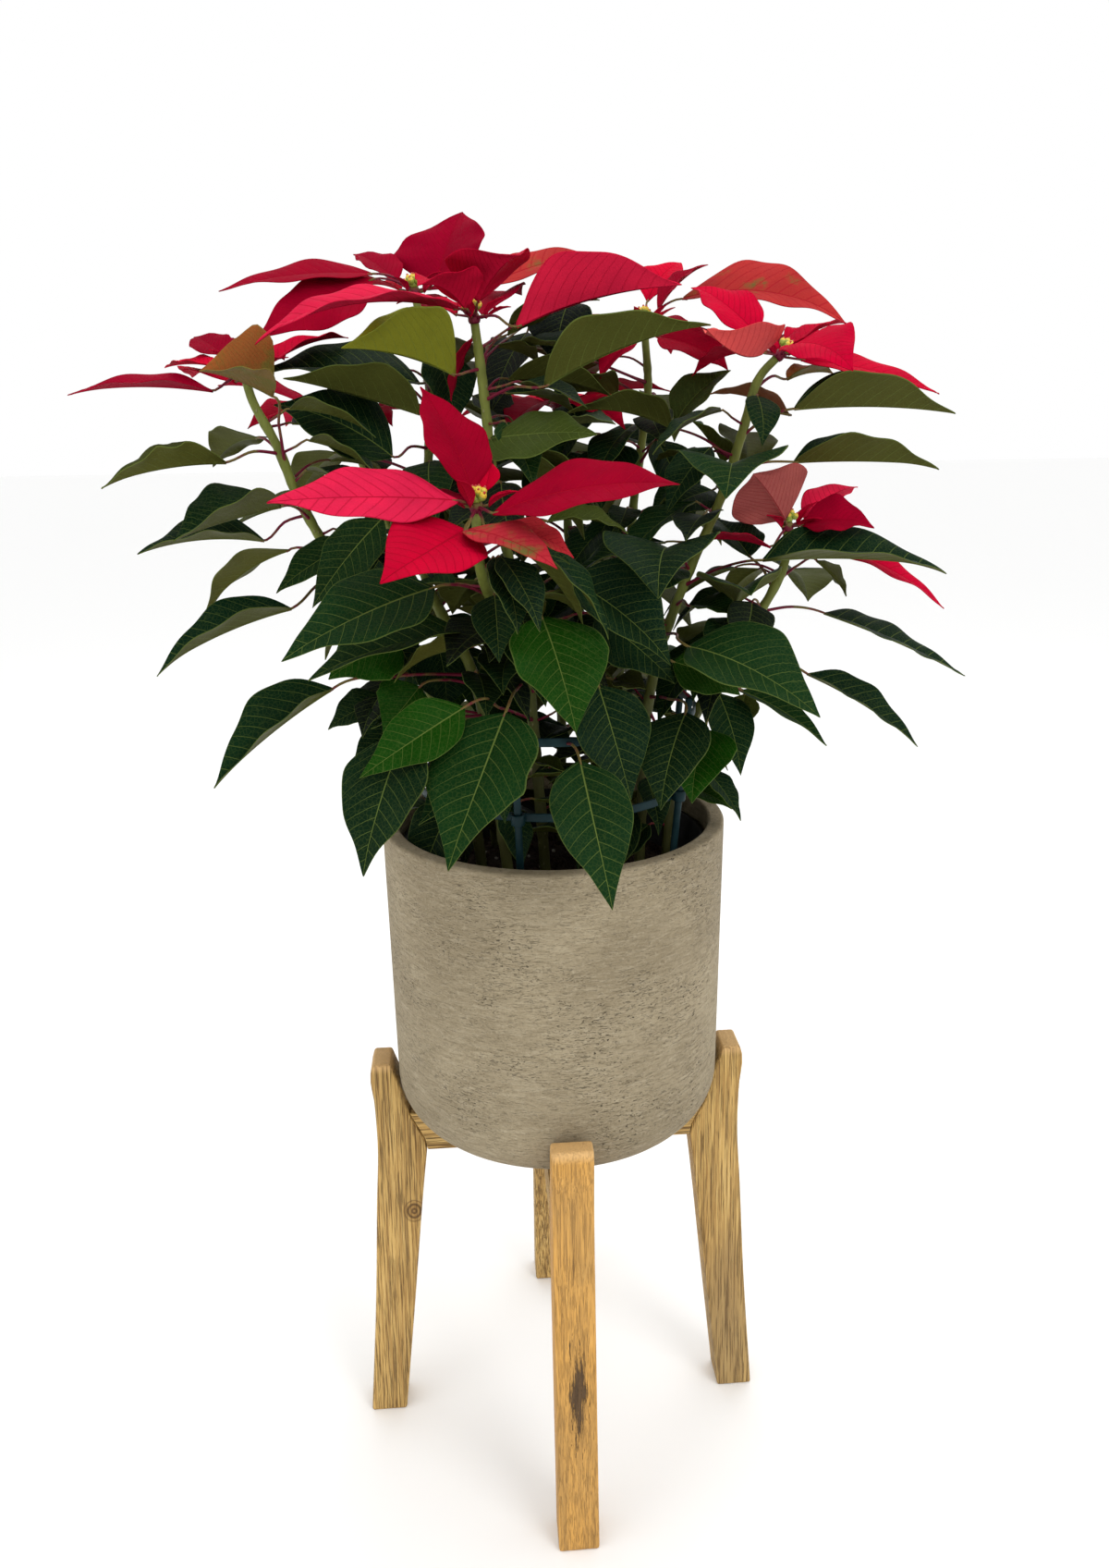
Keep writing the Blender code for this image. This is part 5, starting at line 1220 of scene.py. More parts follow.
def inner_leaves(count):
    """Smaller leaves up every stem, inside the plant, each turned until it crosses nothing."""
    draw = random.Random(INNER_SEED)
    solids = plant_trees()

    def clear(seat, tip, width, roll):
        """Whether a leaf crosses nothing. If so, later leaves keep clear of it too."""
        plate = plate_of(seat, tip, width, roll)
        if any(plate.overlap(solid) for solid in solids):
            return False
        solids.append(plate)
        return True

    for name, height, seat, tip, width, roll, tone in BACKING:
        root = point_at_height(smooth_path(STEMS[name]), height * MM)
        for offset in slides():
            place = Vector(seat) * MM + offset, Vector(tip) * MM + offset
            if clear(*place, width * INNER_ROOM * MM, roll):
                yield name, root, *place, width * MM, roll, tone
                break
    names = list(STEMS)
    made = 0
    for k in range(count * 3):
        if made == count:
            return
        name = names[k % len(names)]
        path = smooth_path(STEMS[name])
        low, high = max(path[0].z, INNER_LOW), path[-1].z - INNER_BELOW_TIP
        root = point_at_height(path, low + (high - low) * ((k * GOLDEN_SHARE) % 1))
        for attempt in range(INNER_TRIES):
            heading = 360 * ((k + attempt) * GOLDEN_SHARE % 1) + draw.uniform(*INNER_TURN)
            out = turned_xyz(heading, 1, 0)
            length = draw.uniform(*INNER_LENGTH)
            seat = root + out * draw.uniform(*INNER_PETIOLE) + UP * draw.uniform(*INNER_LIFT) * MM
            tip = seat + sloped(out, -draw.uniform(*INNER_DIP)) * length
            if math.hypot(tip.x / INNER_SPREAD[0], tip.y / INNER_SPREAD[1]) > 1:
                continue
            width, roll = length * draw.uniform(*INNER_SLIMNESS), draw.uniform(*INNER_ROLL)
            if clear(seat, tip, width * INNER_ROOM, roll):
                made += 1
                yield name, root, seat, tip, width, roll, INNER_TONES[made % len(INNER_TONES)]
                break


class Tree:
    """A Geometry Nodes tree with a geometry input and output and named inputs."""

    def __init__(self, name, **inputs):
        self.group = bpy.data.node_groups.new(name, "GeometryNodeTree")
        self.socket("Geometry", "Geometry")
        for label, kind in inputs.items():
            self.socket(label.replace("_", " "), kind)
        self.socket("Geometry", "Geometry", "OUTPUT")
        self.given = self.group.nodes.new("NodeGroupInput").outputs
        self.end = self.group.nodes.new("NodeGroupOutput")

    def socket(self, label, kind, way="INPUT"):
        self.group.interface.new_socket(label, in_out=way, socket_type="NodeSocket" + kind)

    def node(self, kind, inputs=None, **settings):
        """Adds a node, and gives its outputs."""
        return tree_node(self.group, kind, inputs, **settings).outputs

    def turn_to_heading(self):
        """A turn that points Z along each point's own heading."""
        heading = self.node("GeometryNodeInputNamedAttribute", {"Name": "heading"}, data_type="FLOAT_VECTOR")
        return self.node("FunctionNodeAlignRotationToVector", {"Vector": heading[0]}, axis="Z")[0]

    def finish(self, geometry):
        """Ends the tree in Realize Instances and Set Material."""
        real = self.node("GeometryNodeRealizeInstances", {"Geometry": geometry})[0]
        painted = self.node("GeometryNodeSetMaterial", {
            "Geometry": real, "Material": self.given["Material"]})[0]
        self.group.links.new(painted, self.end.inputs[0])
        return self.group


def run_tree(obj, tree, values):
    """Runs a tree on an object with its inputs set by name, and keeps the result as a plain mesh."""
    modifier = obj.modifiers.new(tree.name, "NODES")
    modifier.node_group = tree
    for item in tree.interface.items_tree:
        if item.in_out == "INPUT" and item.name in values:
            modifier[item.identifier] = values[item.name]
    return applied(obj)


def scatter_tree():
    """Shapes strewn over the upward faces of a surface, with random turn and size."""
    tree = Tree("Strewn crumbs", Shape="Object", Density="Float", Smallest="Float", Largest="Float",
                Seed="Int", Material="Material")
    given = tree.given
    normal = tree.node("GeometryNodeInputNormal")[0]
    height = tree.node("ShaderNodeSeparateXYZ", {0: normal})["Z"]
    upward = tree.node("FunctionNodeCompare", {0: height, 1: 0.7}, operation="GREATER_THAN")[0]
    spots = tree.node("GeometryNodeDistributePointsOnFaces", {
        "Mesh": given["Geometry"], "Selection": upward, "Density": given["Density"], "Seed": given["Seed"]})
    size = tree.node("FunctionNodeRandomValue", {
        "Seed": given["Seed"], 2: given["Smallest"], 3: given["Largest"]}, data_type="FLOAT")[1]
    turn = tree.node("FunctionNodeRandomValue", {
        "Seed": given["Seed"], 1: (math.tau, math.tau, math.tau)}, data_type="FLOAT_VECTOR")[0]
    shape = tree.node("GeometryNodeObjectInfo", {"Object": given["Shape"]})["Geometry"]
    return tree.finish(tree.node("GeometryNodeInstanceOnPoints", {
        "Points": spots["Points"], "Instance": shape, "Rotation": turn, "Scale": size})[0])


def bud_tree():
    """A bud on each point, turned to the point's own direction."""
    tree = Tree("Bud cluster", Bud="Object", Size="Float", Seed="Int", Material="Material")
    given = tree.given
    turn = tree.turn_to_heading()
    vary = tree.node("FunctionNodeRandomValue", {
        "Seed": given["Seed"], 2: 0.82, 3: 1.12}, data_type="FLOAT")[1]
    size = tree.node("ShaderNodeMath", {0: vary, 1: given["Size"]}, operation="MULTIPLY")[0]
    shape = tree.node("GeometryNodeObjectInfo", {"Object": given["Bud"]})["Geometry"]
    return tree.finish(tree.node("GeometryNodeInstanceOnPoints", {
        "Points": given["Geometry"], "Instance": shape, "Rotation": turn, "Scale": size})[0])


def hoop_tree():
    """A flat band swept round a circle, with an eyelet on each point that the object holds."""
    tree = Tree("Hoop", Radius="Float", Height="Float", Band_height="Float", Band_thickness="Float",
                Eyelet_radius="Float", Eyelet_height="Float", Eyelet_wall="Float", Material="Material")
    given = tree.given
    rims = []
    for radius, wide, tall, steps in (("Radius", "Band thickness", "Band height", 160),
                                      ("Eyelet radius", "Eyelet wall", "Eyelet height", 20)):
        ring = tree.node("GeometryNodeCurvePrimitiveCircle", {
            "Resolution": steps, "Radius": given[radius]})[0]
        upright = tree.node("GeometryNodeSetCurveNormal", {"Curve": ring}, mode="Z_UP")[0]
        band = tree.node("GeometryNodeCurvePrimitiveQuadrilateral", {
            "Width": given[wide], "Height": given[tall]})[0]
        soft = tree.node("GeometryNodeFilletCurve", {
            "Curve": band, "Count": 2, "Radius": BAND_ROUNDING}, mode="POLY")[0]
        rims.append(tree.node("GeometryNodeCurveToMesh", {"Curve": upright, "Profile Curve": soft})[0])
    lift = tree.node("ShaderNodeCombineXYZ", {"Z": given["Height"]})[0]
    raised = tree.node("GeometryNodeTransform", {"Geometry": rims[0], "Translation": lift})[0]
    eyelets = tree.node("GeometryNodeInstanceOnPoints", {
        "Points": given["Geometry"], "Instance": rims[1], "Rotation": tree.turn_to_heading()})[0]
    joined = tree_node(tree.group, "GeometryNodeJoinGeometry", {0: raised})
    tree.group.links.new(eyelets, joined.inputs[0])
    return tree.finish(tree.node("GeometryNodeSetShadeSmooth", {"Geometry": joined.outputs[0]})[0])


def points_object(name, points, headings):
    """Loose points that each hold a heading, for a tree to set shapes on."""
    mesh = bpy.data.meshes.new(name)
    mesh.from_pydata([tuple(p) for p in points], [], [])
    made = mesh.attributes.new("heading", "FLOAT_VECTOR", "POINT")
    made.data.foreach_set("vector", np.array([tuple(h) for h in headings], np.float32).ravel())
    return link(bpy.data.objects.new(name, mesh))


def turned_solid(profile, sides):
    """A solid of revolution about Z."""
    shape = bmesh.new()
    points = [shape.verts.new((r, 0, z)) for r, z in profile]
    edges = [shape.edges.new(pair) for pair in zip(points, points[1:])]
    if profile[0][0] > 0:
        edges.append(shape.edges.new((points[-1], points[0])))
    bmesh.ops.spin(shape, geom=points + edges, cent=(0, 0, 0), axis=(0, 0, 1), angle=math.tau, steps=sides)
    bmesh.ops.remove_doubles(shape, verts=shape.verts, dist=0.01 * MM)
    bmesh.ops.recalc_face_normals(shape, faces=shape.faces)
    return shape


def arc(centre_r, centre_z, radius, first, last, count):
    """Points of an arc about a centre, from one angle to another in degrees."""
    steps = [math.radians(first + (last - first) * k / count) for k in range(count + 1)]
    return [(centre_r + radius * math.cos(a), centre_z + radius * math.sin(a)) for a in steps]


def soil_wave(x, y):
    """The slow and the quick waves of the soil's top, in millimetres."""
    slow = math.sin(x * 61 + 1) * math.sin(y * 53 + 2) * 2.6
    return slow + math.sin(x * 170 + y * 140) * 1.1


class POINSETTIA_OT_planter(bpy.types.Operator):
    """Cement planter, turned, with rounded base and rim"""

    bl_idname = "poinsettia.planter"
    bl_label = "Planter"

    def execute(self, context):
        s = context.scene.poinsettia_planter
        floor = PLANTER_BOTTOM + s.floor
        inner_base = s.base_radius - s.wall
        inner_rim = s.rim_radius - s.wall
        rim_z = RIM_HEIGHT - s.rim_rounding
        shoulder = PLANTER_BOTTOM + s.base_fillet
        rise = rim_z - PLANTER_BOTTOM - s.base_fillet
        flare = s.rim_radius - s.base_radius
        steps = WALL_STEPS
        profile = [(0, PLANTER_BOTTOM)]
        profile += arc(s.base_radius - s.base_fillet, shoulder, s.base_fillet, -90, 0, 14)
        profile += [(s.base_radius + flare * k / steps, shoulder + rise * k / steps)
                    for k in range(1, steps)]
        profile += arc(s.rim_radius - s.rim_rounding, rim_z, s.rim_rounding, 0, 90, 5)
        profile += arc(inner_rim + s.rim_rounding, rim_z, s.rim_rounding, 90, 180, 5)
        profile += arc(inner_base - s.inner_fillet, floor + s.inner_fillet, s.inner_fillet, 0, -90, 6)
        profile.append((0, floor))
        piece = from_bmesh("planter_cement", turned_solid(profile, s.sides), cement_material(s), 60)
        hold(piece, "cement", "planter")
        return {"FINISHED"}


class POINSETTIA_OT_nursery_pot(bpy.types.Operator):
    """Black nursery pot that the plant grows in"""

    bl_idname = "poinsettia.nursery_pot"
    bl_label = "Nursery pot"

    def execute(self, context):
        s = context.scene.poinsettia_planter
        foot = PLANTER_BOTTOM + s.floor + CAD_GAP
        top, lip, wall = NURSERY["top"], NURSERY["lip"], NURSERY["wall"]
        wide, slim = NURSERY["top radius"], NURSERY["base radius"]
        outside = [(0, foot), (slim - 3 * MM, foot), (slim, foot + 3 * MM), (wide, top)]
        rolled = [(wide + lip * 0.7, top), (wide + lip, top + lip * 0.3), (wide + lip, top + lip * 0.7),
                  (wide + lip * 0.6, top + lip), (wide - wall * 0.6, top + lip)]
        inside = [(wide - wall, top + lip * 0.6), (slim - wall, foot + 4 * MM), (slim - 4 * MM, foot + wall),
                  (0, foot + wall)]
        black = plastic_material("nursery_plastic", s.nursery, 0.5, 0.0002)
        piece = from_bmesh("nursery_pot_black", turned_solid(outside + rolled + inside, 96), black, 40)
        hold(piece, "black_plastic", "nursery_pot")
        return {"FINISHED"}


class POINSETTIA_OT_soil(bpy.types.Operator):
    """Soil with an uneven top, loose crumbs and white grit"""

    bl_idname = "poinsettia.soil"
    bl_label = "Soil"

    def execute(self, context):
        s = context.scene.poinsettia_soil
        low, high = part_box("soil")
        radius = (high.x - low.x) / 2
        foot_radius = radius - (SOIL_TOP - low.z) * SOIL_TAPER
        draw = random.Random(SOIL_SEED)
        profile = [(0, low.z), (foot_radius, low.z), (radius, SOIL_TOP - 2 * MM)]
        profile += [(radius * (1 - k / SOIL_RINGS), SOIL_TOP + SOIL_RISE * min(1, k / 6))
                    for k in range(1, SOIL_RINGS)]
        profile.append((0, SOIL_TOP + SOIL_RISE))
        shape = turned_solid(profile, 90)
        for vertex in shape.verts:
            if vertex.co.z > SOIL_TOP - MM:
                vertex.co.z += (soil_wave(vertex.co.x, vertex.co.y) + draw.uniform(-0.7, 0.7)) * MM
        peat = soil_material(s)
        piece = from_bmesh("soil_peat", shape, peat, 60)
        hold(piece, "peat", "soil")
        area = math.pi * radius * radius
        scatter = scatter_tree()
        for name, count, size, seed, material in (
                ("soil_crumbs", s.crumbs, s.crumb_size, CRUMB_SEED, peat),
                ("soil_grit", s.grit, s.crumb_size * 0.6, GRIT_SEED, plain_material("grit", s.grain, 0.8))):
            shape = bmesh.new()
            bmesh.ops.create_icosphere(shape, subdivisions=2, radius=1.0)
            for vertex in shape.verts:
                vertex.co *= 1 + draw.uniform(-0.22, 0.22)
            crumb = from_bmesh("crumb", shape, material, 20)
            strewn = link(bpy.data.objects.new(name, piece.data.copy()))
            run_tree(strewn, scatter, {"Shape": crumb, "Density": count / area, "Smallest": size * 0.3,
                                       "Largest": size, "Seed": seed, "Material": material})
            bpy.data.objects.remove(crumb)
            hold(strewn, "peat")
        return {"FINISHED"}


class POINSETTIA_OT_stand(bpy.types.Operator):
    """Four curved legs and two halved bars of brushed oak"""

    bl_idname = "poinsettia.stand"
    bl_label = "Stand"

    def outline(self):
        """The leg's outline as smooth runs that meet in corners."""
        points = []
        for run in LEG_RUNS:
            if len(run) > 2:
                smooth = curve_through([(r * MM, 0, z * MM) for r, z in run], 9 * MM)
                points += [(p[0], p[2]) for p in smooth]
            else:
                points += [(r * MM, z * MM) for r, z in run]
        return [p for k, p in enumerate(points) if math.dist(p, points[k - 1]) > 0.1 * MM]

    def plate(self, name, outline, width, rounding, material, heading):
        """A board cut to an outline, with its edges rounded, turned to a heading."""
        shape = bmesh.new()
        points = [shape.verts.new((x, -width / 2, z)) for x, z in outline]
        face = shape.faces.new(points)
        grown = bmesh.ops.extrude_face_region(shape, geom=[face])
        moved = [item for item in grown["geom"] if isinstance(item, bmesh.types.BMVert)]
        bmesh.ops.translate(shape, vec=(0, width, 0), verts=moved)
        bmesh.ops.recalc_face_normals(shape, faces=shape.faces)
        bmesh.ops.rotate(shape, verts=shape.verts, matrix=Matrix.Rotation(math.radians(heading), 3, "Z"))
        piece = from_bmesh(name, shape, material, 30)
        bevel = piece.modifiers.new("Bevel", "BEVEL")
        bevel.width = rounding
        bevel.segments = 3
        bevel.limit_method = "ANGLE"
        bevel.angle_limit = math.radians(28)
        applied(piece)
        piece.data.set_sharp_from_angle(angle=math.radians(50))
        return piece

    def execute(self, context):
        s = context.scene.poinsettia_stand
        outline = self.outline()
        for k, (place, heading) in enumerate(LEG_HEADINGS.items()):
            shift = tuple(step * k for step in LEG_GRAIN_STEP)
            brushed, warmth = (0.35, 1.0) if place == "front" else (1.0, 0.0)
            wood = wood_material(f"wood_leg_{place}", s, 2, shift, brushed, warmth)
            piece = self.plate(f"leg_{place}_oak", outline, s.width, s.rounding, wood, heading)
            hold(piece, "oak", "leg_" + place)
        middle = (BAR_BOTTOM + BAR_TOP) / 2
        half = s.width / 2 + CAD_GAP
        low, high = middle - CAD_GAP / 2, middle + CAD_GAP / 2
        end = [(r - 2 * CAD_GAP, z) for r, z in BAR_END]
        mirrored = [(-r, z) for r, z in reversed(end)]
        notch_in_top = [(half, BAR_TOP), (half, low), (-half, low), (-half, BAR_TOP)]
        notch_below = [(-half, BAR_BOTTOM), (-half, high), (half, high), (half, BAR_BOTTOM)]
        for name, shape, heading, along in (("left_right", end + notch_in_top + mirrored, 0, 0),
                                            ("front_rear", mirrored + notch_below + end, 90, 1)):
            wood = wood_material("wood_bar_" + name, s, along, (0.9 * along, 0.3, 0.1))
            piece = self.plate(f"bar_{name}_oak", shape, s.width, s.rounding * 0.5, wood, heading)
            hold(piece, "oak", "bar_" + name)
        return {"FINISHED"}


class POINSETTIA_OT_support(bpy.types.Operator):
    """Plant support: four stakes and two flat hoops with eyelets"""

    bl_idname = "poinsettia.support"
    bl_label = "Plant support"

    def stake_at(self, heading, z):
        """A point of a stake's middle line at a height."""
        (foot_r, foot_z), (top_r, top_z) = STAKE_FOOT, STAKE_TOP
        return turned_xyz(heading, foot_r + (top_r - foot_r) * (z - foot_z) / (top_z - foot_z), z)

    def execute(self, context):
        s = context.scene.poinsettia_support
        plastic = plastic_material("support_plastic", s.plastic, 0.42, 0.0001)
        steps = range(STAKE_STEPS + 1)
        places = [STAKE_FOOT[1] + (STAKE_TOP[1] - STAKE_FOOT[1]) * k / STAKE_STEPS for k in steps]
        places.append(STAKE_TOP[1] + 0.6 * MM)
        radii = [s.stake_radius * (0.5 + 0.5 * min(1, k / 3)) for k in steps] + [s.stake_radius * 0.7]
        for number, heading in enumerate(STAKE_HEADINGS, 1):
            parts = Parts()
            tube(parts, [self.stake_at(heading, z) for z in places], radii, TUBE_SIDES)
            hold(parts.make(f"stake_{number}_green", [plastic]), "support_plastic", f"stake_{number}")
        eyelet = s.stake_radius + 2 * CAD_GAP
        tree = hoop_tree()
        for place, z in HOOP_HEIGHTS.items():
            outer = self.stake_at(0, z).x - eyelet - EYELET_WALL / 3
            spots = [self.stake_at(h, z) for h in STAKE_HEADINGS]
            leans = [self.stake_at(h, z + MM) - self.stake_at(h, z) for h in STAKE_HEADINGS]
            hoop = points_object(f"hoop_{place}_green", spots, leans)
            run_tree(hoop, tree, {"Radius": outer - s.band_thickness / 2, "Height": z,
                                  "Band height": s.band_height, "Band thickness": s.band_thickness,
                                  "Eyelet radius": eyelet + EYELET_WALL / 2, "Eyelet height": EYELET_HEIGHT,
                                  "Eyelet wall": EYELET_WALL, "Material": plastic})
            hold(hoop, "support_plastic", "hoop_" + place)
        return {"FINISHED"}


def varied(draw, colour, spread):
    """A colour with each part made a little stronger or weaker."""
    return tuple(part * draw.uniform(*spread) for part in colour)


class POINSETTIA_OT_stems(bpy.types.Operator):
    """Leafy stems: each with its leaf stalks and veined leaves"""

    bl_idname = "poinsettia.stems"
    bl_label = "Leafy stems"

    def stem(self, parts, roots, points):
        """A stem that swells where each leaf grows from it."""
        path = curve_through(smooth_path(points), PATH_STEP)
        along = np.linspace(0, 1, len(path))
        swelling = np.zeros(len(path))
        for root in roots:
            near = np.linalg.norm(path - np.array(root), axis=1)
            swelling = np.maximum(swelling, np.exp(-(near / (4 * MM)) ** 2))
        radii = STEM_FOOT_RADIUS + (STEM_TIP_RADIUS - STEM_FOOT_RADIUS) * along + 0.6 * MM * swelling
        tube(parts, path, radii, TUBE_SIDES, STEM_SLOT)

    def execute(self, context):
        s = context.scene.poinsettia_foliage
        leaf = blade_material("leaf", s.vein, s.underside, s.turned_part, s.vein_pairs, roughness=0.50,
                              vein_share=0.58, vein_width=0.055, gloss=0.035, below_share=0.60)
        materials = [leaf, petiole_material(s), stem_material(s)]
        groups = {}
        draw = random.Random(STEM_SEED)
        for node, root, blade, tone in all_blades("stem_"):
            parts, roots = groups.setdefault(node, (Parts(), []))
            roots.append(root)
            tint = varied(draw, getattr(s, tone), LEAF_SPREAD)
            add_petiole(parts, root, *blade[:2], s.petiole_radius)
            add_blade(parts, blade, tint, LEAF_TURNED.get(tone, NOT_TURNED), s, s, draw)
        for name, root, *place, tone in inner_leaves(s.fill_count):
            parts, roots = groups[stem_node(name)]
            roots.append(root)
            tint = varied(draw, getattr(s, tone), LEAF_SPREAD)
            add_petiole(parts, root, *place[:2], s.petiole_radius * 0.85)
            add_blade(parts, (*place, *INNER_FORM), tint, NOT_TURNED, s, s, draw)
        for name, points in STEMS.items():
            self.stem(*groups[stem_node(name)], points)
        for node, (parts, _) in groups.items():
            hold(parts.make(node + "_leaves", materials), "foliage", node)
        return {"FINISHED"}


class POINSETTIA_OT_blooms(bpy.types.Operator):
    """Blooms: layers of veined red bracts on a short foot"""

    bl_idname = "poinsettia.blooms"
    bl_label = "Blooms"

    def execute(self, context):
        s = context.scene.poinsettia_bracts
        foliage = context.scene.poinsettia_foliage
        bract = blade_material("bract", s.vein, s.underside, s.green, s.vein_pairs, roughness=0.60,
                               vein_share=0.80, vein_width=0.095, gloss=0.015, below_share=0.35)
        materials = [bract, petiole_material(foliage)]
        groups = {}
        draw = random.Random(BLOOM_SEED)
        for node, root, blade, tone in all_blades("bloom_"):
            parts = groups.setdefault(node, Parts())
            tint = varied(draw, getattr(s, tone), BRACT_SPREAD)
            add_petiole(parts, root, *blade[:2], foliage.petiole_radius * 0.9)
            add_blade(parts, blade, tint, BRACT_TURNED.get(tone, NOT_TURNED), s, foliage, draw)
        for name in STEMS:
            parts = groups["bloom_" + name]
            top, axis = hub_of(name)
            path = [top + axis * h for h in (CAD_GAP, HUB_HEIGHT * 0.3, HUB_HEIGHT * 0.7, HUB_HEIGHT)]
            tube(parts, path, [HUB_RADIUS * share for share in HUB_SHAPE], TUBE_SIDES, PETIOLE_SLOT)
            for k in range(s.inner_count):
                out = turned_xyz(math.degrees(math.tau * (k * GOLDEN_SHARE + draw.uniform(0, 0.1))), 1, 0)
                rise = draw.uniform(15, 45)
                seat = top + axis * HUB_HEIGHT * 0.6 + out * 9 * MM
                length = draw.uniform(20, 34) * MM
                tip = seat + sloped(out, rise) * length
                add_petiole(parts, top + axis * HUB_HEIGHT * 0.5, seat, tip, foliage.petiole_radius * 0.7)
                blade = (seat, tip, length * 0.42, 0, 20, 0.08, "bract")
                add_blade(parts, blade, tuple(s.crimson), 0.0, s, foliage, draw)
        for node, parts in groups.items():
            hold(parts.make(node + "_bracts", materials), "bract", node)
        return {"FINISHED"}


class POINSETTIA_OT_cyathia(bpy.types.Operator):
    """Clusters of yellow-green buds in the middle of the blooms"""

    bl_idname = "poinsettia.cyathia"
    bl_label = "Bud clusters"

    PROFILE = [(0, -0.9), (0.45, -0.85), (0.85, -0.45), (1.0, 0.15), (0.92, 0.75), (0.70, 1.15),
               (0.62, 1.25), (0.50, 1.20), (0.34, 1.45), (0.30, 1.75), (0, 1.95)]

    def bud(self, material):
        """One bud of radius 1, whose points hold their height as a share."""
        shape = turned_solid(self.PROFILE, 12)
        foot, top = self.PROFILE[0][1], self.PROFILE[-1][1]
        levels = [(vertex.co.z - foot) / (top - foot) for vertex in shape.verts]
        bud = from_bmesh("bud", shape, material, 80)
        made = bud.data.attributes.new("level", "FLOAT", "POINT")
        made.data.foreach_set("value", levels)
        return bud

    def spots(self, foot, axis, count, draw):
        """Where a cluster's buds stand and point: one on top, a ring of three, and a ring outside."""
        side = axis.cross(Vector((0, 1, 0))).normalized()
        other = axis.cross(side)
        places, headings = [foot + axis * 8 * MM], [axis]
        for k in range(count - 1):
            inner = k < INNER_BUDS
            share = k / INNER_BUDS if inner else (k - INNER_BUDS) / max(count - 1 - INNER_BUDS, 1)
            angle = math.tau * share + draw.uniform(-0.2, 0.2)
            out = side * math.cos(angle) + other * math.sin(angle)
            spread, height, lean = INNER_RING if inner else OUTER_RING
            rise = height * MM + draw.uniform(-0.5, 0.5) * MM
            places.append(foot + out * (spread * MM) + axis * rise)
            headings.append(axis + out * lean)
        return places, headings

    def execute(self, context):
        s = context.scene.poinsettia_cyathia
        material = bud_material("cyathium", s)
        bud = self.bud(material)
        tree = bud_tree()
        draw = random.Random(BUD_SEED)
        for seed, name in enumerate(STEMS):
            top, axis = hub_of(name)
            foot = top + axis * (HUB_HEIGHT + CAD_GAP)
            cluster = points_object(f"cyathia_{name}_buds", *self.spots(foot, axis, s.bud_count, draw))
            run_tree(cluster, tree, {"Bud": bud, "Size": s.bud_radius, "Seed": seed, "Material": material})
            parts = Parts()
            path = [foot, foot + axis * 2 * MM, foot + axis * 4 * MM]
            tube(parts, path, [3.5 * MM, 4.2 * MM, 3.6 * MM], TUBE_SIDES)
            foot_piece = parts.make(f"cyathia_{name}_foot", [material])
            hold(cluster, "cyathium", "cyathia_" + name)
            hold(foot_piece, "cyathium", "cyathia_" + name)
        bpy.data.objects.remove(bud)
        return {"FINISHED"}


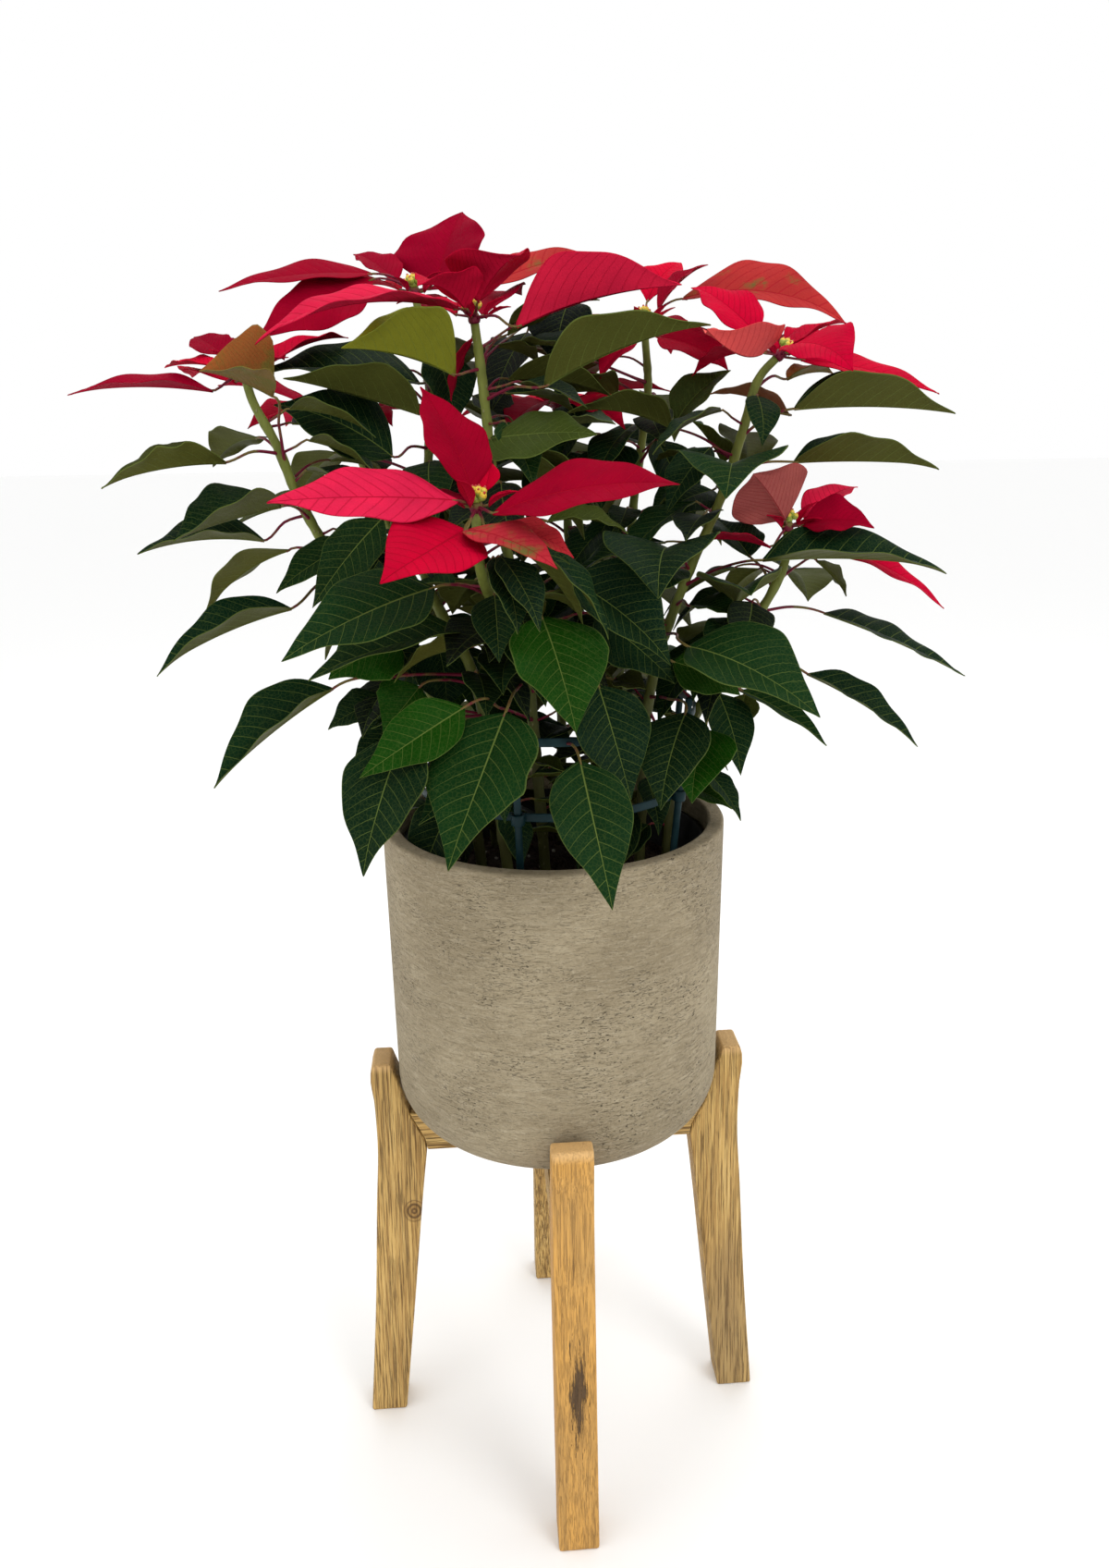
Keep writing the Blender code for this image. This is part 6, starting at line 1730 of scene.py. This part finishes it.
class POINSETTIA_OT_stage(bpy.types.Operator):
    """Plain pale floor, soft studio light and the camera"""

    bl_idname = "poinsettia.stage"
    bl_label = "Stage"

    def light(self, name, place, aim_height, size, power):
        data = bpy.data.lights.new(name, "AREA")
        data.shape = "RECTANGLE"
        data.size = size
        data.size_y = size
        data.energy = power
        lamp = link(bpy.data.objects.new(name, data))
        lamp.location = place
        ahead = Vector((0, 0, aim_height)) - Vector(place)
        lamp.rotation_euler = ahead.to_track_quat("-Z", "Y").to_euler()

    def camera(self):
        data = bpy.data.cameras.new("camera")
        data.sensor_width = SENSOR_WIDTH
        data.lens = LENS
        data.shift_x, data.shift_y = LENS_SHIFT
        camera = link(bpy.data.objects.new("camera", data))
        ahead = Vector(CAMERA_AHEAD).normalized()
        right = ahead.cross(UP).normalized()
        up = right.cross(ahead)
        roll = math.radians(CAMERA_ROLL)
        turned_right = right * math.cos(roll) + up * math.sin(roll)
        turned_up = up * math.cos(roll) - right * math.sin(roll)
        matrix = Matrix((turned_right, turned_up, -ahead)).transposed().to_4x4()
        matrix.translation = Vector(CAMERA_PLACE)
        camera.matrix_world = matrix
        bpy.context.scene.camera = camera

    def execute(self, context):
        s = context.scene.poinsettia_stage
        shape = bmesh.new()
        bmesh.ops.create_grid(shape, x_segments=1, y_segments=1, size=s.floor_size)
        material = Shade("floor", 0.7).finish(tuple(s.floor_colour))
        floor = from_bmesh("floor", shape, material)
        world = bpy.data.worlds.new("room")
        world.use_nodes = True
        background = world.node_tree.nodes["Background"]
        background.inputs["Color"].default_value = (1.0, 1.0, 1.0, 1)
        background.inputs["Strength"].default_value = s.sky
        context.scene.world = world
        for name, place, aim_height, size, power in LIGHTS:
            setting, share = power
            self.light(name, place, aim_height, size, getattr(s, setting) * share)
        context.scene.view_settings.view_transform = "Standard"
        self.camera()
        return {"FINISHED"}


SETTINGS = {"poinsettia_foliage": FoliageSettings, "poinsettia_bracts": BractSettings,
            "poinsettia_cyathia": CyathiumSettings, "poinsettia_planter": PlanterSettings,
            "poinsettia_soil": SoilSettings, "poinsettia_stand": StandSettings,
            "poinsettia_support": SupportSettings, "poinsettia_stage": StageSettings}
OPERATORS = [POINSETTIA_OT_planter, POINSETTIA_OT_nursery_pot, POINSETTIA_OT_soil, POINSETTIA_OT_stand,
             POINSETTIA_OT_support, POINSETTIA_OT_stems, POINSETTIA_OT_blooms, POINSETTIA_OT_cyathia,
             POINSETTIA_OT_stage]


class POINSETTIA_PT_panel(bpy.types.Panel):
    """Lists the operators and the settings that they read"""

    bl_idname = "POINSETTIA_PT_panel"
    bl_label = "Poinsettia"
    bl_space_type = "VIEW_3D"
    bl_region_type = "UI"
    bl_category = "Poinsettia"

    def draw(self, context):
        for operator in OPERATORS:
            self.layout.operator(operator.bl_idname)
        for name, group in SETTINGS.items():
            box = self.layout.box()
            box.label(text=name.split("_")[1].title())
            for key in group.__annotations__:
                box.prop(getattr(context.scene, name), key)


CLASSES = [*SETTINGS.values(), *OPERATORS, POINSETTIA_PT_panel]


def register():
    for cls in CLASSES:
        bpy.utils.register_class(cls)
    for name, group in SETTINGS.items():
        setattr(bpy.types.Scene, name, PointerProperty(type=group))


def unregister():
    for name in SETTINGS:
        delattr(bpy.types.Scene, name)
    for cls in reversed(CLASSES):
        bpy.utils.unregister_class(cls)


def main():
    register()
    bpy.ops.poinsettia.planter()
    bpy.ops.poinsettia.nursery_pot()
    bpy.ops.poinsettia.soil()
    bpy.ops.poinsettia.stand()
    bpy.ops.poinsettia.support()
    bpy.ops.poinsettia.stems()
    bpy.ops.poinsettia.blooms()
    bpy.ops.poinsettia.cyathia()
    bpy.ops.poinsettia.stage()


if __name__ == "__main__":
    main()
